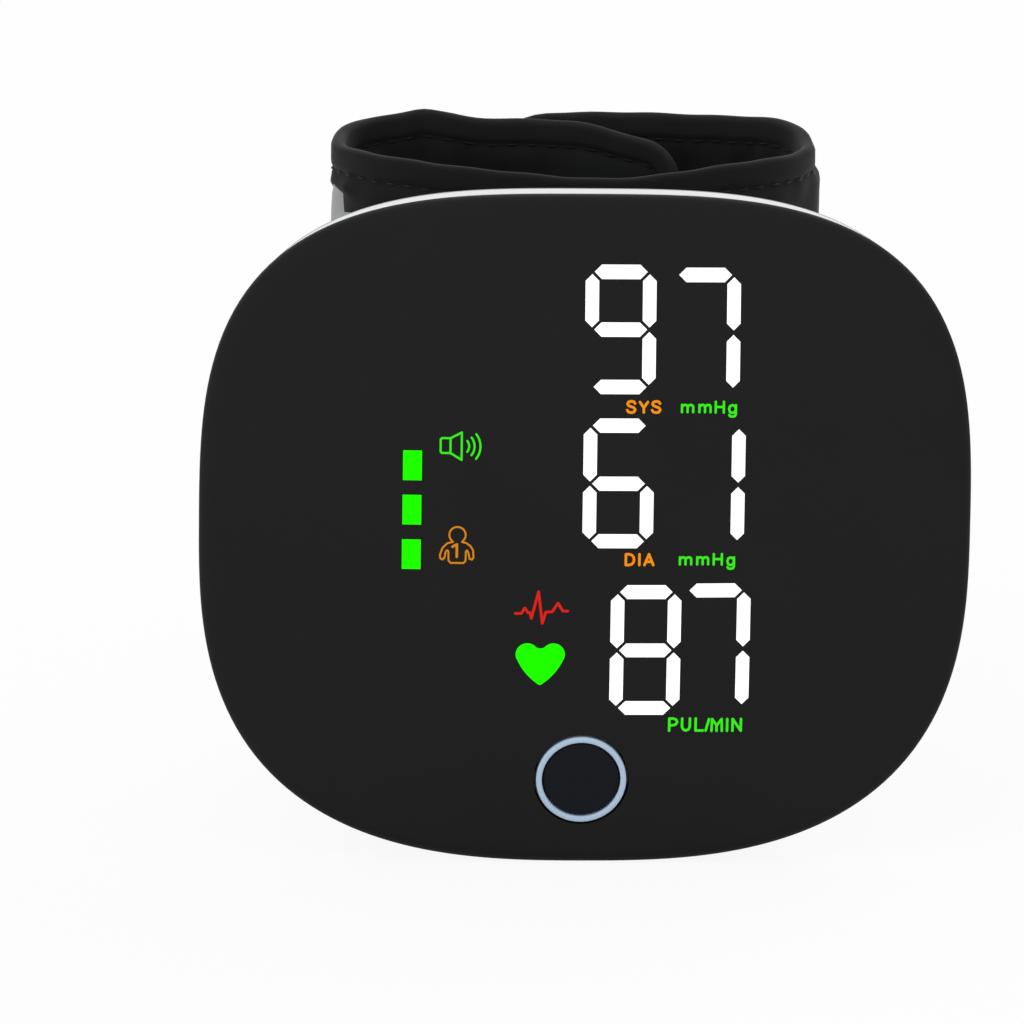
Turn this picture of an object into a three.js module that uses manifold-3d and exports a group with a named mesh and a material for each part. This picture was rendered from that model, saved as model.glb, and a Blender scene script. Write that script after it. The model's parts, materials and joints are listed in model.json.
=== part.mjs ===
// Wrist blood pressure monitor: a domed black face on a white case, and a fabric cuff closed into a loop.
// Millimetres, +Z up. The face looks along -Y and the part stands on its lower edge at z = 0.
import * as THREE from 'three';
import { mergeVertices } from 'three/addons/utils/BufferGeometryUtils.js';
import Module from 'manifold-3d';

const wasm = await Module();
wasm.setup();

// Clearances
const GAP = 0.3;
const SEAM = 0.15;

// Face outline: a rounded square, squarer above its waist than below
const FACE_WIDTH = 86;
const FACE_HEIGHT = 76;
const UPPER_EXPONENT = 3.18;
const LOWER_EXPONENT = 2.72;

// Front panel
const DOME_RISE = 2.6;
const DOME_FLAT = 0.15;
const EDGE_INSET = 2.0;
const EDGE_DEPTH = 2.0;
const PANEL_WALL = 1.4;
const PANEL_SKIRT = 0.9;

// Front housing
const RIM_DEPTH = 2.8;
const RIM_WALL = 1.8;
const RIM_SIDE_INSET = 0.9;
const DECK_SETBACK = 0.6;
const DECK_THICKNESS = 1.2;

// Rear housing: it narrows from the face outline to a block that carries the cuff
const BLOCK_WIDTH = 56;
const BLOCK_HEIGHT = 59.6;
const BLOCK_EXPONENT = 22;
const TAPER_DEPTH = 16;
const HORN_END = 41;
const HOUSING_WALL = 2.0;
const CAVITY_END = 29;
const EAR_RISE = 5;
const EAR_START = 37.8;
const EAR_FULL = 40.3;
const EAR_ROUND = 1.2;
const HORN_ROUND = 3.5;
const RIGHT_HORN_DROP = 4.0;

// Cuff loop, measured on its outer surface
const LOOP_WIDTH = 53.8;
const LOOP_FRONT = 26.5;
const LOOP_BACK = 64;
const LOOP_FRONT_EXPONENT = 1.9;
const LOOP_BACK_EXPONENT = 3;
const CUFF_HEIGHT = 74.5;
const COVER_WALL = 0.7;
const BLADDER_WALL = 0.8;
const LINING_WALL = 0.6;
const HEM = 3.5;
const HEM_SOFT = 0.6;
const CUFF_GAP = 0.15;
const WING_RADIUS = 10;
const BEND_ANGLE = 90;
const OUTER_WING_END = 212;
const INNER_WING_END = 232;
const STEP_START = 114;
const STEP_LEAD = 3;
const LIFT_START = 165;
const TIP_LIFT = 4;
const PAD_WALL = 0.7;
const PAD_LENGTH = 22;
const PAD_MARGIN = 6;

// Cuff plate and air nozzle
const PLATE_WALL = 0.8;
const PLATE_HEIGHT = 52;
const PLATE_ANGLE = 48;
const NOZZLE_X = 0;
const NOZZLE_Z = 4;
const NOZZLE_RADIUS = 2.2;
const NOZZLE_BORE = 0.7;
const NOZZLE_FLANGE = 4.2;
const FLANGE_WALL = 0.8;
const SEAL_WALL = 0.4;
const CLIP_X = 10;
const CLIP_Z = 18;
const CLIP_WIDTH = 3;
const CLIP_WALL = 1.2;
const CLIP_HOOK = 0.8;

// Button
const BUTTON_X = -0.4;
const BUTTON_Z = -27.85;
const BUTTON_RING_DIAMETER = 10.1;
const BUTTON_RING_WIDTH = 0.65;
const BUTTON_RING_DEPTH = 1.6;
const BUTTON_TRAVEL = 0.5;
const BUTTON_FLANGE = 0.6;
const BUTTON_STEM_RADIUS = 1.5;
const SWITCH_BODY = 2.2;
const SWITCH_WIDTH = 4.5;
const PLUNGER_RADIUS = 1.4;
const PLUNGER_PROUD = 0.7;

// Display and board
const DISPLAY_LEFT = -21;
const DISPLAY_RIGHT = 19.5;
const DISPLAY_BOTTOM = -25;
const DISPLAY_TOP = 32;
const DISPLAY_FRONT = 4.3;
const MASK_THICKNESS = 0.3;
const BOARD_FRONT = 8.5;
const BOARD_THICKNESS = 1.6;
const BOARD_HALF_WIDTH = 20.5;
const BOARD_BOTTOM = -31;
const BOARD_TOP = 24;
const BOARD_SCREW_X = 14;
const BOARD_SCREW_Z = -28;
const DIGIT_WIDTH = 8;
const DIGIT_HEIGHT = 14.75;
const SEGMENT_WIDTH = 1.65;
const SEGMENT_GAP = 0.35;
const WELL_DEPTH = 2.5;
const CHIP_SIZE = 7;
const CHIP_HEIGHT = 1;
const CHIP_X = -12;
const CHIP_Z = 3;
const DIGIT_ROWS = [
  { z: 23.4, columns: [3.9, 13.2] },
  { z: 6.2, columns: [3.6, 13.7] },
  { z: -12.8, columns: [6.5, 14.5] },
];

// Fasteners
const CASE_SCREW_X = 24.2;
const CASE_SCREW_Z = 20;
const SCREW_SHANK = 1.0;
const SCREW_HEAD = 2.0;
const SCREW_HEAD_HEIGHT = 1.4;
const BOSS_WALL = 1.1;
const BOSS_END = 10.5;
const SCREW_SEAT = 14;

// Air system
const PUMP_RADIUS = 5.5;
const PUMP_Y = 16.6;
const PUMP_Z = 17;
const PUMP_LEFT = -20;
const MOTOR_LENGTH = 15;
const MOTOR_FLAT = 0.9;
const SHAFT_HUB = 2;
const PUMP_HEAD_LENGTH = 9.5;
const VALVE_RADIUS = 4.5;
const VALVE_LEFT = 8.5;
const VALVE_LENGTH = 11.5;
const AIR_Y = 15.2;
const BARB_RADIUS = 1.0;
const BARB_LENGTH = 2.2;
const TUBE_RADIUS = 2.0;
const TUBE_BORE = 1.3;
const MANIFOLD_HALF = 2.0;
const SENSOR_SIZE = 5;
const SENSOR_HEIGHT = 2.4;
const SENSOR_X = 6;

// Power and sound
const CELL_LEFT = -20;
const CELL_WIDTH = 25;
const CELL_TOP = -4;
const CELL_HEIGHT = 19;
const CELL_THICKNESS = 5;
const CELL_PAD = 0.8;
const CELL_CORNER = 1.5;
const FOAM_MARGIN = 2;
const SPEAKER_X = 13;
const SPEAKER_Z = -14;
const SPEAKER_RADIUS = 6.5;
const SPEAKER_HEIGHT = 3;
const USB_WIDTH = 9;
const USB_HEIGHT = 3.2;
const USB_LENGTH = 7.3;
const USB_WALL = 0.4;
const USB_SETBACK = 0.6;
const USB_ROUND = 0.97;
const USB_TONGUE_MARGIN = 1.2;
const SOUND_SLOTS = 5;
const SOUND_PITCH = 1.8;
const SOUND_WIDTH = 0.9;

// Facet counts
const OUTLINE_SEGMENTS = 56;
const ROUND_SIDES = 16;
const BUTTON_SIDES = 36;
const TUBE_SIDES = 10;
const BAND_STEP = 3.5;

// Levels worked out from the sizes above
const HALF_WIDTH = FACE_WIDTH / 2;
const HALF_HEIGHT = FACE_HEIGHT / 2;
const RIM_HALF_WIDTH = HALF_WIDTH - RIM_SIDE_INSET;
const PANEL_BACK = DOME_RISE + EDGE_DEPTH + PANEL_SKIRT;
const RIM_FRONT = PANEL_BACK + SEAM;
const RIM_BACK = RIM_FRONT + RIM_DEPTH;
const REAR_FRONT = RIM_BACK + SEAM;
const DECK_FRONT = RIM_FRONT + DECK_SETBACK;
const DECK_BACK = DECK_FRONT + DECK_THICKNESS;
const BOARD_BACK = BOARD_FRONT + BOARD_THICKNESS;
const CUFF_BOTTOM = -HALF_HEIGHT;
const CUFF_TOP = CUFF_BOTTOM + CUFF_HEIGHT;
const CUFF_THICKNESS = COVER_WALL + BLADDER_WALL + LINING_WALL + 2 * CUFF_GAP;
const LOOP_CENTRE = (LOOP_FRONT + LOOP_BACK) / 2;
const LOOP_HALF_DEPTH = (LOOP_BACK - LOOP_FRONT) / 2;
const SADDLE_GAP = PLATE_WALL + 2 * CUFF_GAP;

const monitor = new THREE.Group();
const faceFrame = new THREE.Group();
faceFrame.position.set(0, -LOOP_BACK / 2, HALF_HEIGHT);
monitor.add(faceFrame);

const blackGloss = { color: 0x212121, roughness: 0.35, metalness: 0 };
const whitePlastic = { color: 0xdddfe0, roughness: 0.45, metalness: 0 };
const paleMetal = { color: 0xa9bfd5, roughness: 0.3, metalness: 0.6 };
const blackPlastic = { color: 0x1d1e22, roughness: 0.4, metalness: 0 };
const nylon = { color: 0x2f2e31, roughness: 0.8, metalness: 0 };
const softBlack = { color: 0x141516, roughness: 0.9, metalness: 0 };
const rubber = { color: 0x3a3a3c, roughness: 0.8, metalness: 0 };
const clearRubber = { color: 0xc9cbc6, roughness: 0.4, metalness: 0 };
const steel = { color: 0xb4b6b8, roughness: 0.3, metalness: 1 };
const boardGreen = { color: 0x1d5a34, roughness: 0.6, metalness: 0 };
const cellFoil = { color: 0x9aa4b0, roughness: 0.4, metalness: 0.5 };
const whiteReflector = { color: 0xe6e6e2, roughness: 0.6, metalness: 0 };

function add(name, geometry, look, parent = faceFrame) {
  const mesh = new THREE.Mesh(geometry, new THREE.MeshStandardMaterial(look));
  mesh.name = name;
  parent.add(mesh);
  return mesh;
}

// Solids and booleans
function toSolid(geometry) {
  const bare = geometry.clone();
  bare.deleteAttribute('normal');
  bare.deleteAttribute('uv');
  const merged = mergeVertices(bare, 1e-4);
  const index = Array.from(merged.index.array);
  const triangles = [];
  for (let i = 0; i < index.length; i += 3) {
    const [a, b, c] = index.slice(i, i + 3);
    if (a !== b && b !== c && c !== a) triangles.push(a, b, c);
  }
  return new wasm.Manifold(new wasm.Mesh({
    numProp: 3,
    vertProperties: Float32Array.from(merged.attributes.position.array),
    triVerts: Uint32Array.from(triangles),
  }));
}

function toGeometry(solid) {
  const mesh = solid.getMesh();
  const geometry = new THREE.BufferGeometry();
  geometry.setAttribute('position', new THREE.BufferAttribute(Float32Array.from(mesh.vertProperties), 3));
  geometry.setIndex(new THREE.BufferAttribute(Uint32Array.from(mesh.triVerts), 1));
  geometry.computeVertexNormals();
  return geometry;
}

function join(first, ...others) {
  return others.reduce((solid, other) => solid.add(other), first);
}

function cut(first, ...others) {
  return others.reduce((solid, other) => solid.subtract(other), first);
}

// A closed skin through rings of equal length, with a fan over each end ring
function loft(rings) {
  const count = rings[0].length;
  const points = rings.flat();
  const triangles = [];
  for (let ring = 0; ring + 1 < rings.length; ring += 1) {
    for (let i = 0; i < count; i += 1) {
      const a = ring * count + i;
      const b = ring * count + ((i + 1) % count);
      triangles.push(a, b, a + count, b, b + count, a + count);
    }
  }
  const last = (rings.length - 1) * count;
  for (const [start, turned] of [[0, true], [last, false]]) {
    const centre = new THREE.Vector3();
    for (let i = 0; i < count; i += 1) centre.addScaledVector(points[start + i], 1 / count);
    points.push(centre);
    const hub = points.length - 1;
    for (let i = 0; i < count; i += 1) {
      const a = start + i;
      const b = start + ((i + 1) % count);
      triangles.push(...(turned ? [hub, b, a] : [hub, a, b]));
    }
  }
  return closedSkin(points, triangles);
}

function closedSkin(points, triangles) {
  let volume = 0;
  for (let i = 0; i < triangles.length; i += 3) {
    const [a, b, c] = triangles.slice(i, i + 3).map((corner) => points[corner]);
    volume += a.dot(b.clone().cross(c));
  }
  const geometry = new THREE.BufferGeometry().setFromPoints(points);
  geometry.setIndex(volume > 0 ? triangles : triangles.slice().reverse());
  geometry.computeVertexNormals();
  return geometry;
}

function box(x0, x1, y0, y1, z0, z1) {
  const geometry = new THREE.BoxGeometry(x1 - x0, y1 - y0, z1 - z0);
  return geometry.translate((x0 + x1) / 2, (y0 + y1) / 2, (z0 + z1) / 2);
}

// A block of square face about a point of the board, from depth y0 to y1
function squareBlock(size, x, z, y0, y1) {
  return box(x - size / 2, x + size / 2, y0, y1, z - size / 2, z + size / 2);
}

// Round bars along each axis
function rodX(radius, x0, x1, y, z, sides = ROUND_SIDES) {
  const geometry = new THREE.CylinderGeometry(radius, radius, x1 - x0, sides);
  return geometry.rotateZ(Math.PI / 2).translate((x0 + x1) / 2, y, z);
}

function rodY(radius, x, y0, y1, z, sides = ROUND_SIDES) {
  const geometry = new THREE.CylinderGeometry(radius, radius, y1 - y0, sides);
  return geometry.translate(x, (y0 + y1) / 2, z);
}

function rodZ(radius, x, y, z0, z1, sides = ROUND_SIDES) {
  const geometry = new THREE.CylinderGeometry(radius, radius, z1 - z0, sides);
  return geometry.rotateX(Math.PI / 2).translate(x, y, (z0 + z1) / 2);
}

// A flat shape drawn in x and z, given thickness from y0 to y1
function plate(shape, y0, y1) {
  const extrusion = { depth: y1 - y0, bevelEnabled: false, curveSegments: 4 };
  const geometry = new THREE.ExtrudeGeometry(shape, extrusion);
  return geometry.rotateX(Math.PI / 2).translate(0, y1, 0);
}

function roundedRectangle(x0, x1, z0, z1, radius) {
  const shape = new THREE.Shape();
  shape.moveTo(x0 + radius, z0);
  shape.lineTo(x1 - radius, z0);
  shape.absarc(x1 - radius, z0 + radius, radius, -Math.PI / 2, 0, false);
  shape.lineTo(x1, z1 - radius);
  shape.absarc(x1 - radius, z1 - radius, radius, 0, Math.PI / 2, false);
  shape.lineTo(x0 + radius, z1);
  shape.absarc(x0 + radius, z1 - radius, radius, Math.PI / 2, Math.PI, false);
  shape.lineTo(x0, z0 + radius);
  shape.absarc(x0 + radius, z0 + radius, radius, Math.PI, 1.5 * Math.PI, false);
  return shape;
}

// Distance from the centre of a superellipse to its edge
function superRadius(angle, halfWidth, halfHeight, exponent) {
  const across = Math.abs(Math.cos(angle)) / halfWidth;
  const along = Math.abs(Math.sin(angle)) / halfHeight;
  return (across ** exponent + along ** exponent) ** (-1 / exponent);
}

// A ring of the case outline at depth y; squareness moves it from the face outline to the block's
function caseRing(y, halfWidth, upperHeight, squareness = 0, lowerHeight = upperHeight) {
  const ring = [];
  for (let i = 0; i < OUTLINE_SEGMENTS; i += 1) {
    const angle = (2 * Math.PI * i) / OUTLINE_SEGMENTS;
    const upper = Math.sin(angle) >= 0;
    const faceExponent = upper ? UPPER_EXPONENT : LOWER_EXPONENT;
    const exponent = faceExponent + (BLOCK_EXPONENT - faceExponent) * squareness;
    const radius = superRadius(angle, halfWidth, upper ? upperHeight : lowerHeight, exponent);
    ring.push(new THREE.Vector3(radius * Math.cos(angle), y, radius * Math.sin(angle)));
  }
  return ring;
}

function faceRing(y, inset, share = 1) {
  return caseRing(y, (HALF_WIDTH - inset) * share, (HALF_HEIGHT - inset) * share);
}

// The white case is a little narrower than the panel, so that its rim shows only along the top
function rimRing(y, inset) {
  return caseRing(y, RIM_HALF_WIDTH - inset, HALF_HEIGHT - inset);
}

// Depth of the domed face at a share of the way from its centre to its edge
function domeDepth(share) {
  return (DOME_RISE * (share ** 2 - DOME_FLAT ** 2)) / (1 - DOME_FLAT ** 2);
}

// Button place: its axis stands square on the dome
const buttonShare = -BUTTON_Z / (HALF_HEIGHT - EDGE_INSET);
const buttonDepth = domeDepth(buttonShare);
const buttonSlope = (2 * DOME_RISE * buttonShare) / (HALF_HEIGHT - EDGE_INSET);
const buttonRadius = BUTTON_RING_DIAMETER / 2;
const buttonFrame = new THREE.Group();
buttonFrame.position.set(BUTTON_X, buttonDepth, BUTTON_Z);
buttonFrame.rotation.x = Math.atan(buttonSlope);
faceFrame.add(buttonFrame);

// Front panel: a domed shell with a rounded edge, open behind
function frontPanel() {
  const rings = [];
  for (const share of [DOME_FLAT, 0.4, 0.6, 0.8, 0.92, 1]) {
    rings.push(faceRing(domeDepth(share), EDGE_INSET, share));
  }
  for (const turn of [30, 60, 90]) {
    const angle = THREE.MathUtils.degToRad(turn);
    const y = DOME_RISE + EDGE_DEPTH * (1 - Math.cos(angle));
    rings.push(faceRing(y, EDGE_INSET * (1 - Math.sin(angle))));
  }
  rings.push(faceRing(PANEL_BACK, 0));
  rings.push(faceRing(PANEL_BACK, PANEL_WALL));
  rings.push(faceRing(DOME_RISE + EDGE_DEPTH, PANEL_WALL));
  for (const share of [0.97, 0.75, 0.4, DOME_FLAT]) {
    rings.push(faceRing(domeDepth(share) + PANEL_WALL, EDGE_INSET, share));
  }
  const reach = 3 * PANEL_WALL;
  const hole = rodY(buttonRadius + GAP, 0, -reach, reach, 0, BUTTON_SIDES);
  hole.rotateX(buttonFrame.rotation.x).translate(BUTTON_X, buttonDepth, BUTTON_Z);
  return toGeometry(cut(toSolid(loft(rings)), toSolid(hole)));
}
add('front_panel', frontPanel(), blackGloss);

// Button ring and cap, turned on the button's own axis
function turned(profile, sides = BUTTON_SIDES) {
  const points = profile.map(([radius, y]) => new THREE.Vector2(radius, y)).reverse();
  return toGeometry(toSolid(new THREE.LatheGeometry(points, sides)));
}

const ringInner = buttonRadius - BUTTON_RING_WIDTH;
const capRadius = ringInner - GAP / 2;
const flangeFront = BUTTON_RING_DEPTH + GAP / 2;
const flangeBack = flangeFront + BUTTON_FLANGE;
const ringRound = BUTTON_RING_WIDTH / 4;
add('button_ring', turned([
  [ringInner, BUTTON_RING_DEPTH],
  [buttonRadius, BUTTON_RING_DEPTH],
  [buttonRadius, 0],
  [buttonRadius - ringRound, -ringRound],
  [ringInner + ringRound, -ringRound],
  [ringInner, 0],
  [ringInner, BUTTON_RING_DEPTH],
]), paleMetal, buttonFrame);

const switchFront = BOARD_FRONT - SWITCH_BODY;
const plungerFront = switchFront - PLUNGER_PROUD;
const stemEnd = (plungerFront - buttonDepth) * Math.cos(buttonFrame.rotation.x) - GAP;
add('button_cap', turned([
  [0, stemEnd],
  [BUTTON_STEM_RADIUS, stemEnd],
  [BUTTON_STEM_RADIUS, flangeBack],
  [buttonRadius, flangeBack],
  [buttonRadius, flangeFront],
  [capRadius, flangeFront],
  [capRadius, ringRound],
  [capRadius - ringRound, 0],
  [0, 0],
]), blackPlastic, buttonFrame);

// Tact switch behind the button: a hollow body on the board and the plunger that the cap pushes
const switchBody = toSolid(squareBlock(SWITCH_WIDTH, BUTTON_X, BUTTON_Z, switchFront, BOARD_FRONT));
const switchBore = rodY(PLUNGER_RADIUS + GAP, BUTTON_X, switchFront - 1, BOARD_FRONT - GAP, BUTTON_Z);
add('tact_switch', toGeometry(cut(switchBody, toSolid(switchBore))), blackPlastic);
const plungerBack = BOARD_FRONT - 2 * GAP - BUTTON_TRAVEL;
add('switch_plunger', rodY(PLUNGER_RADIUS, BUTTON_X, plungerFront, plungerBack, BUTTON_Z), whitePlastic);

// Front housing: the white rim, and a deck with the display window, screw bosses and board posts
const caseScrews = [];
for (const side of [-1, 1]) {
  for (const end of [-1, 1]) caseScrews.push({ x: side * CASE_SCREW_X, z: end * CASE_SCREW_Z });
}
const boardScrews = [-1, 1].map((side) => ({ x: side * BOARD_SCREW_X, z: BOARD_SCREW_Z }));
const screwHole = SCREW_SHANK + GAP;
const bossRadius = screwHole + BOSS_WALL;
const holeStart = DECK_FRONT + DECK_THICKNESS / 2;

function frontHousing() {
  let housing = toSolid(loft([rimRing(RIM_FRONT, 0), rimRing(RIM_BACK, 0)]));
  const window = roundedRectangle(
    DISPLAY_LEFT - GAP, DISPLAY_RIGHT + GAP, DISPLAY_BOTTOM - GAP, DISPLAY_TOP + GAP, GAP,
  );
  housing = cut(
    housing,
    toSolid(loft([rimRing(RIM_FRONT - 1, RIM_WALL), rimRing(DECK_FRONT, RIM_WALL)])),
    toSolid(loft([rimRing(DECK_BACK, RIM_WALL), rimRing(RIM_BACK + 1, RIM_WALL)])),
    toSolid(plate(window, RIM_FRONT, RIM_BACK)),
    toSolid(rodY(SWITCH_WIDTH / Math.SQRT2 + GAP, BUTTON_X, RIM_FRONT, RIM_BACK, BUTTON_Z)),
  );
  for (const { x, z } of caseScrews) {
    housing = join(housing, toSolid(rodY(bossRadius, x, holeStart, BOSS_END, z)));
    housing = cut(housing, toSolid(rodY(screwHole, x, holeStart, BOSS_END + 1, z)));
  }
  for (const { x, z } of boardScrews) {
    housing = join(housing, toSolid(rodY(bossRadius, x, holeStart, BOARD_FRONT, z)));
    housing = cut(housing, toSolid(rodY(screwHole, x, holeStart, BOARD_FRONT + 1, z)));
  }
  return toGeometry(housing);
}
add('front_housing', frontHousing(), whitePlastic);

// Cuff loop: points on the cuff's outer surface, 0 degrees at the case and 90 at the right-hand bend
function loopPoint(degrees, outset = 0) {
  const angle = THREE.MathUtils.degToRad(degrees);
  const exponent = Math.cos(angle) >= 0 ? LOOP_FRONT_EXPONENT : LOOP_BACK_EXPONENT;
  const radius = superRadius(angle, LOOP_HALF_DEPTH + outset, LOOP_WIDTH / 2 + outset, exponent);
  return new THREE.Vector2(radius * Math.sin(angle), LOOP_CENTRE - radius * Math.cos(angle));
}

class LoopCurve extends THREE.Curve {
  constructor(from, to, outsetAt) {
    super();
    Object.assign(this, { from, to, outsetAt });
  }

  getPoint(share) {
    const degrees = THREE.MathUtils.lerp(this.from, this.to, share);
    return loopPoint(degrees, this.outsetAt(degrees));
  }
}

function loopPath(from, to, outsetAt = () => 0) {
  return new LoopCurve(from, to, outsetAt);
}

function loopBar(outset) {
  const round = loopPath(0, 360 - 360 / OUTLINE_SEGMENTS, () => outset);
  const shape = new THREE.Shape(round.getPoints(OUTLINE_SEGMENTS - 1));
  const geometry = new THREE.ExtrudeGeometry(shape, { depth: 2 * FACE_HEIGHT, bevelEnabled: false });
  return geometry.translate(0, 0, -FACE_HEIGHT);
}

// Rear housing: it falls away behind the rim, then squares up into the block whose saddle holds the cuff
function rearHalf(share, inset) {
  const left = (1 - share) ** 2;
  return {
    width: BLOCK_WIDTH / 2 + (RIM_HALF_WIDTH - BLOCK_WIDTH / 2) * left - inset,
    height: BLOCK_HEIGHT / 2 + (HALF_HEIGHT - BLOCK_HEIGHT / 2) * left - inset,
  };
}

function rearRings(inset) {
  return [0, 0.1, 0.25, 0.45, 0.7, 1].map((share) => {
    const half = rearHalf(share, inset);
    return caseRing(REAR_FRONT + TAPER_DEPTH * share, half.width, half.height, share ** 2);
  });
}

const usbFront = BOARD_BACK + CUFF_GAP;
const usbBack = usbFront + USB_HEIGHT;
const usbEndZ = USB_WIDTH / 2 - USB_HEIGHT / 2;
const usbMiddle = usbFront + USB_HEIGHT / 2;
const usbMouth = rearHalf((usbBack - REAR_FRONT) / TAPER_DEPTH, 0).width - USB_SETBACK;
const usbInside = usbMouth - USB_LENGTH;
const saddleY = LOOP_FRONT - SADDLE_GAP;
const saddleInside = saddleY - HOUSING_WALL;
const clips = [];
for (const side of [-1, 1]) {
  for (const end of [-1, 1]) clips.push({ x: side * CLIP_X, z: end * CLIP_Z });
}
const clipSeat = loopPoint(THREE.MathUtils.radToDeg(Math.atan2(CLIP_X, LOOP_HALF_DEPTH))).y - SADDLE_GAP;
const clipFront = clipSeat - HOUSING_WALL - 2 * CLIP_HOOK;

function rearHousing() {
  const block = { width: BLOCK_WIDTH / 2, height: BLOCK_HEIGHT / 2 };
  const hornStart = CAVITY_END + HOUSING_WALL;
  const outer = toSolid(loft([
    ...rearRings(0),
    ...[hornStart, EAR_START, (EAR_START + EAR_FULL) / 2, EAR_FULL, HORN_END].map((y) => caseRing(
      y,
      block.width,
      block.height + EAR_RISE * THREE.MathUtils.smoothstep(y, EAR_START, EAR_FULL),
      1,
      block.height,
    )),
  ]));
  const mouth = rearHalf(0, HOUSING_WALL);
  const inner = toSolid(loft([
    caseRing(REAR_FRONT - 1, mouth.width, mouth.height),
    ...rearRings(HOUSING_WALL),
    caseRing(CAVITY_END, block.width - HOUSING_WALL, block.height - HOUSING_WALL, 1),
  ]));
  let housing = cut(outer, cut(inner, toSolid(loopBar(SADDLE_GAP + HOUSING_WALL))));
  const postFront = BOSS_END + GAP;
  for (const { x, z } of caseScrews) {
    const post = toSolid(rodY(SCREW_HEAD + GAP + BOSS_WALL, x, postFront, HORN_END, z));
    housing = join(housing, post.intersect(outer));
  }
  housing = cut(housing, toSolid(loopBar(SADDLE_GAP)));
  for (const { x, z } of caseScrews) {
    housing = cut(
      housing,
      toSolid(rodY(screwHole, x, postFront - 1, HORN_END, z)),
      toSolid(rodY(SCREW_HEAD + GAP, x, SCREW_SEAT, HORN_END, z)),
    );
  }
  const hornTop = block.height - RIGHT_HORN_DROP;
  const hornCorner = (z, end, radius) => {
    const low = end > 0 ? z - radius : z - 1;
    const y = HORN_END - radius;
    const corner = box(-FACE_WIDTH, FACE_WIDTH, y, HORN_END + 1, low, low + radius + 1);
    const round = rodX(radius, -FACE_WIDTH, FACE_WIDTH, y, z - end * radius, 2 * ROUND_SIDES);
    return cut(toSolid(corner), toSolid(round));
  };
  housing = cut(
    housing,
    toSolid(box(0, FACE_WIDTH, hornStart, HORN_END + 1, hornTop, FACE_HEIGHT)),
    hornCorner(block.height + EAR_RISE, 1, EAR_ROUND),
    hornCorner(-block.height, -1, HORN_ROUND),
    toSolid(rodX(USB_HEIGHT / 2 + GAP, usbInside, FACE_WIDTH, usbMiddle, usbEndZ)),
    toSolid(rodX(USB_HEIGHT / 2 + GAP, usbInside, FACE_WIDTH, usbMiddle, -usbEndZ)),
    toSolid(box(usbInside, FACE_WIDTH, usbFront - GAP, usbBack + GAP, -usbEndZ, usbEndZ)),
    toSolid(rodY(NOZZLE_RADIUS + GAP, NOZZLE_X, saddleInside - 1, LOOP_FRONT, NOZZLE_Z)),
  );
  for (const { x, z } of clips) {
    const halfWidth = CLIP_WIDTH / 2 + GAP;
    const halfWall = CLIP_WALL / 2 + GAP;
    const slot = box(x - halfWidth, x + halfWidth, clipFront, LOOP_CENTRE, z - halfWall, z + halfWall);
    housing = cut(housing, toSolid(slot));
  }
  for (let i = 0; i < SOUND_SLOTS; i += 1) {
    const x = SPEAKER_X + SOUND_PITCH * (i - (SOUND_SLOTS - 1) / 2);
    const y = BOARD_BACK + SPEAKER_HEIGHT;
    housing = cut(housing, toSolid(box(
      x - SOUND_WIDTH / 2, x + SOUND_WIDTH / 2,
      y - SPEAKER_HEIGHT / 2, y + SPEAKER_HEIGHT / 2,
      -HALF_HEIGHT, CELL_TOP - CELL_HEIGHT,
    )));
  }
  return toGeometry(housing);
}
add('rear_housing', rearHousing(), whitePlastic);

// Screws: a flat head against its seat and a plain shank
function screw(x, z, tip, seat) {
  const shank = toSolid(rodY(SCREW_SHANK, x, tip, seat + SCREW_HEAD_HEIGHT / 2, z));
  const head = toSolid(rodY(SCREW_HEAD, x, seat, seat + SCREW_HEAD_HEIGHT, z));
  return toGeometry(join(shank, head));
}
const screwTip = holeStart + GAP;
caseScrews.forEach(({ x, z }, i) => add(`case_screw_${i + 1}`, screw(x, z, screwTip, SCREW_SEAT), steel));
boardScrews.forEach(({ x, z }, i) => add(`board_screw_${i + 1}`, screw(x, z, screwTip, BOARD_BACK), steel));

// Main board with its screw holes and a tongue that carries the charging socket to the right-hand wall
function mainBoard() {
  const tongue = USB_WIDTH / 2 + BOARD_THICKNESS;
  const shape = new THREE.Shape();
  shape.moveTo(-BOARD_HALF_WIDTH, BOARD_BOTTOM);
  shape.lineTo(BOARD_HALF_WIDTH, BOARD_BOTTOM);
  shape.lineTo(BOARD_HALF_WIDTH, -tongue);
  shape.lineTo(usbMouth, -tongue);
  shape.lineTo(usbMouth, tongue);
  shape.lineTo(BOARD_HALF_WIDTH, tongue);
  shape.lineTo(BOARD_HALF_WIDTH, BOARD_TOP);
  shape.lineTo(-BOARD_HALF_WIDTH, BOARD_TOP);
  shape.closePath();
  let board = toSolid(plate(shape, BOARD_FRONT, BOARD_BACK));
  for (const { x, z } of boardScrews) {
    board = cut(board, toSolid(rodY(screwHole, x, BOARD_FRONT - 1, BOARD_BACK + 1, z)));
  }
  return toGeometry(board);
}
add('main_board', mainBoard(), boardGreen);

// One bar of a seven-bar digit, pointed at both ends
function digitBar(length, upright) {
  const half = length / 2 - SEGMENT_GAP;
  const wide = SEGMENT_WIDTH / 2;
  const outline = [
    [-half, 0], [wide - half, -wide], [half - wide, -wide],
    [half, 0], [half - wide, wide], [wide - half, wide],
  ];
  const corner = ([a, b]) => (upright ? new THREE.Vector2(-b, a) : new THREE.Vector2(a, b));
  return new THREE.Shape(outline.map(corner));
}

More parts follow.
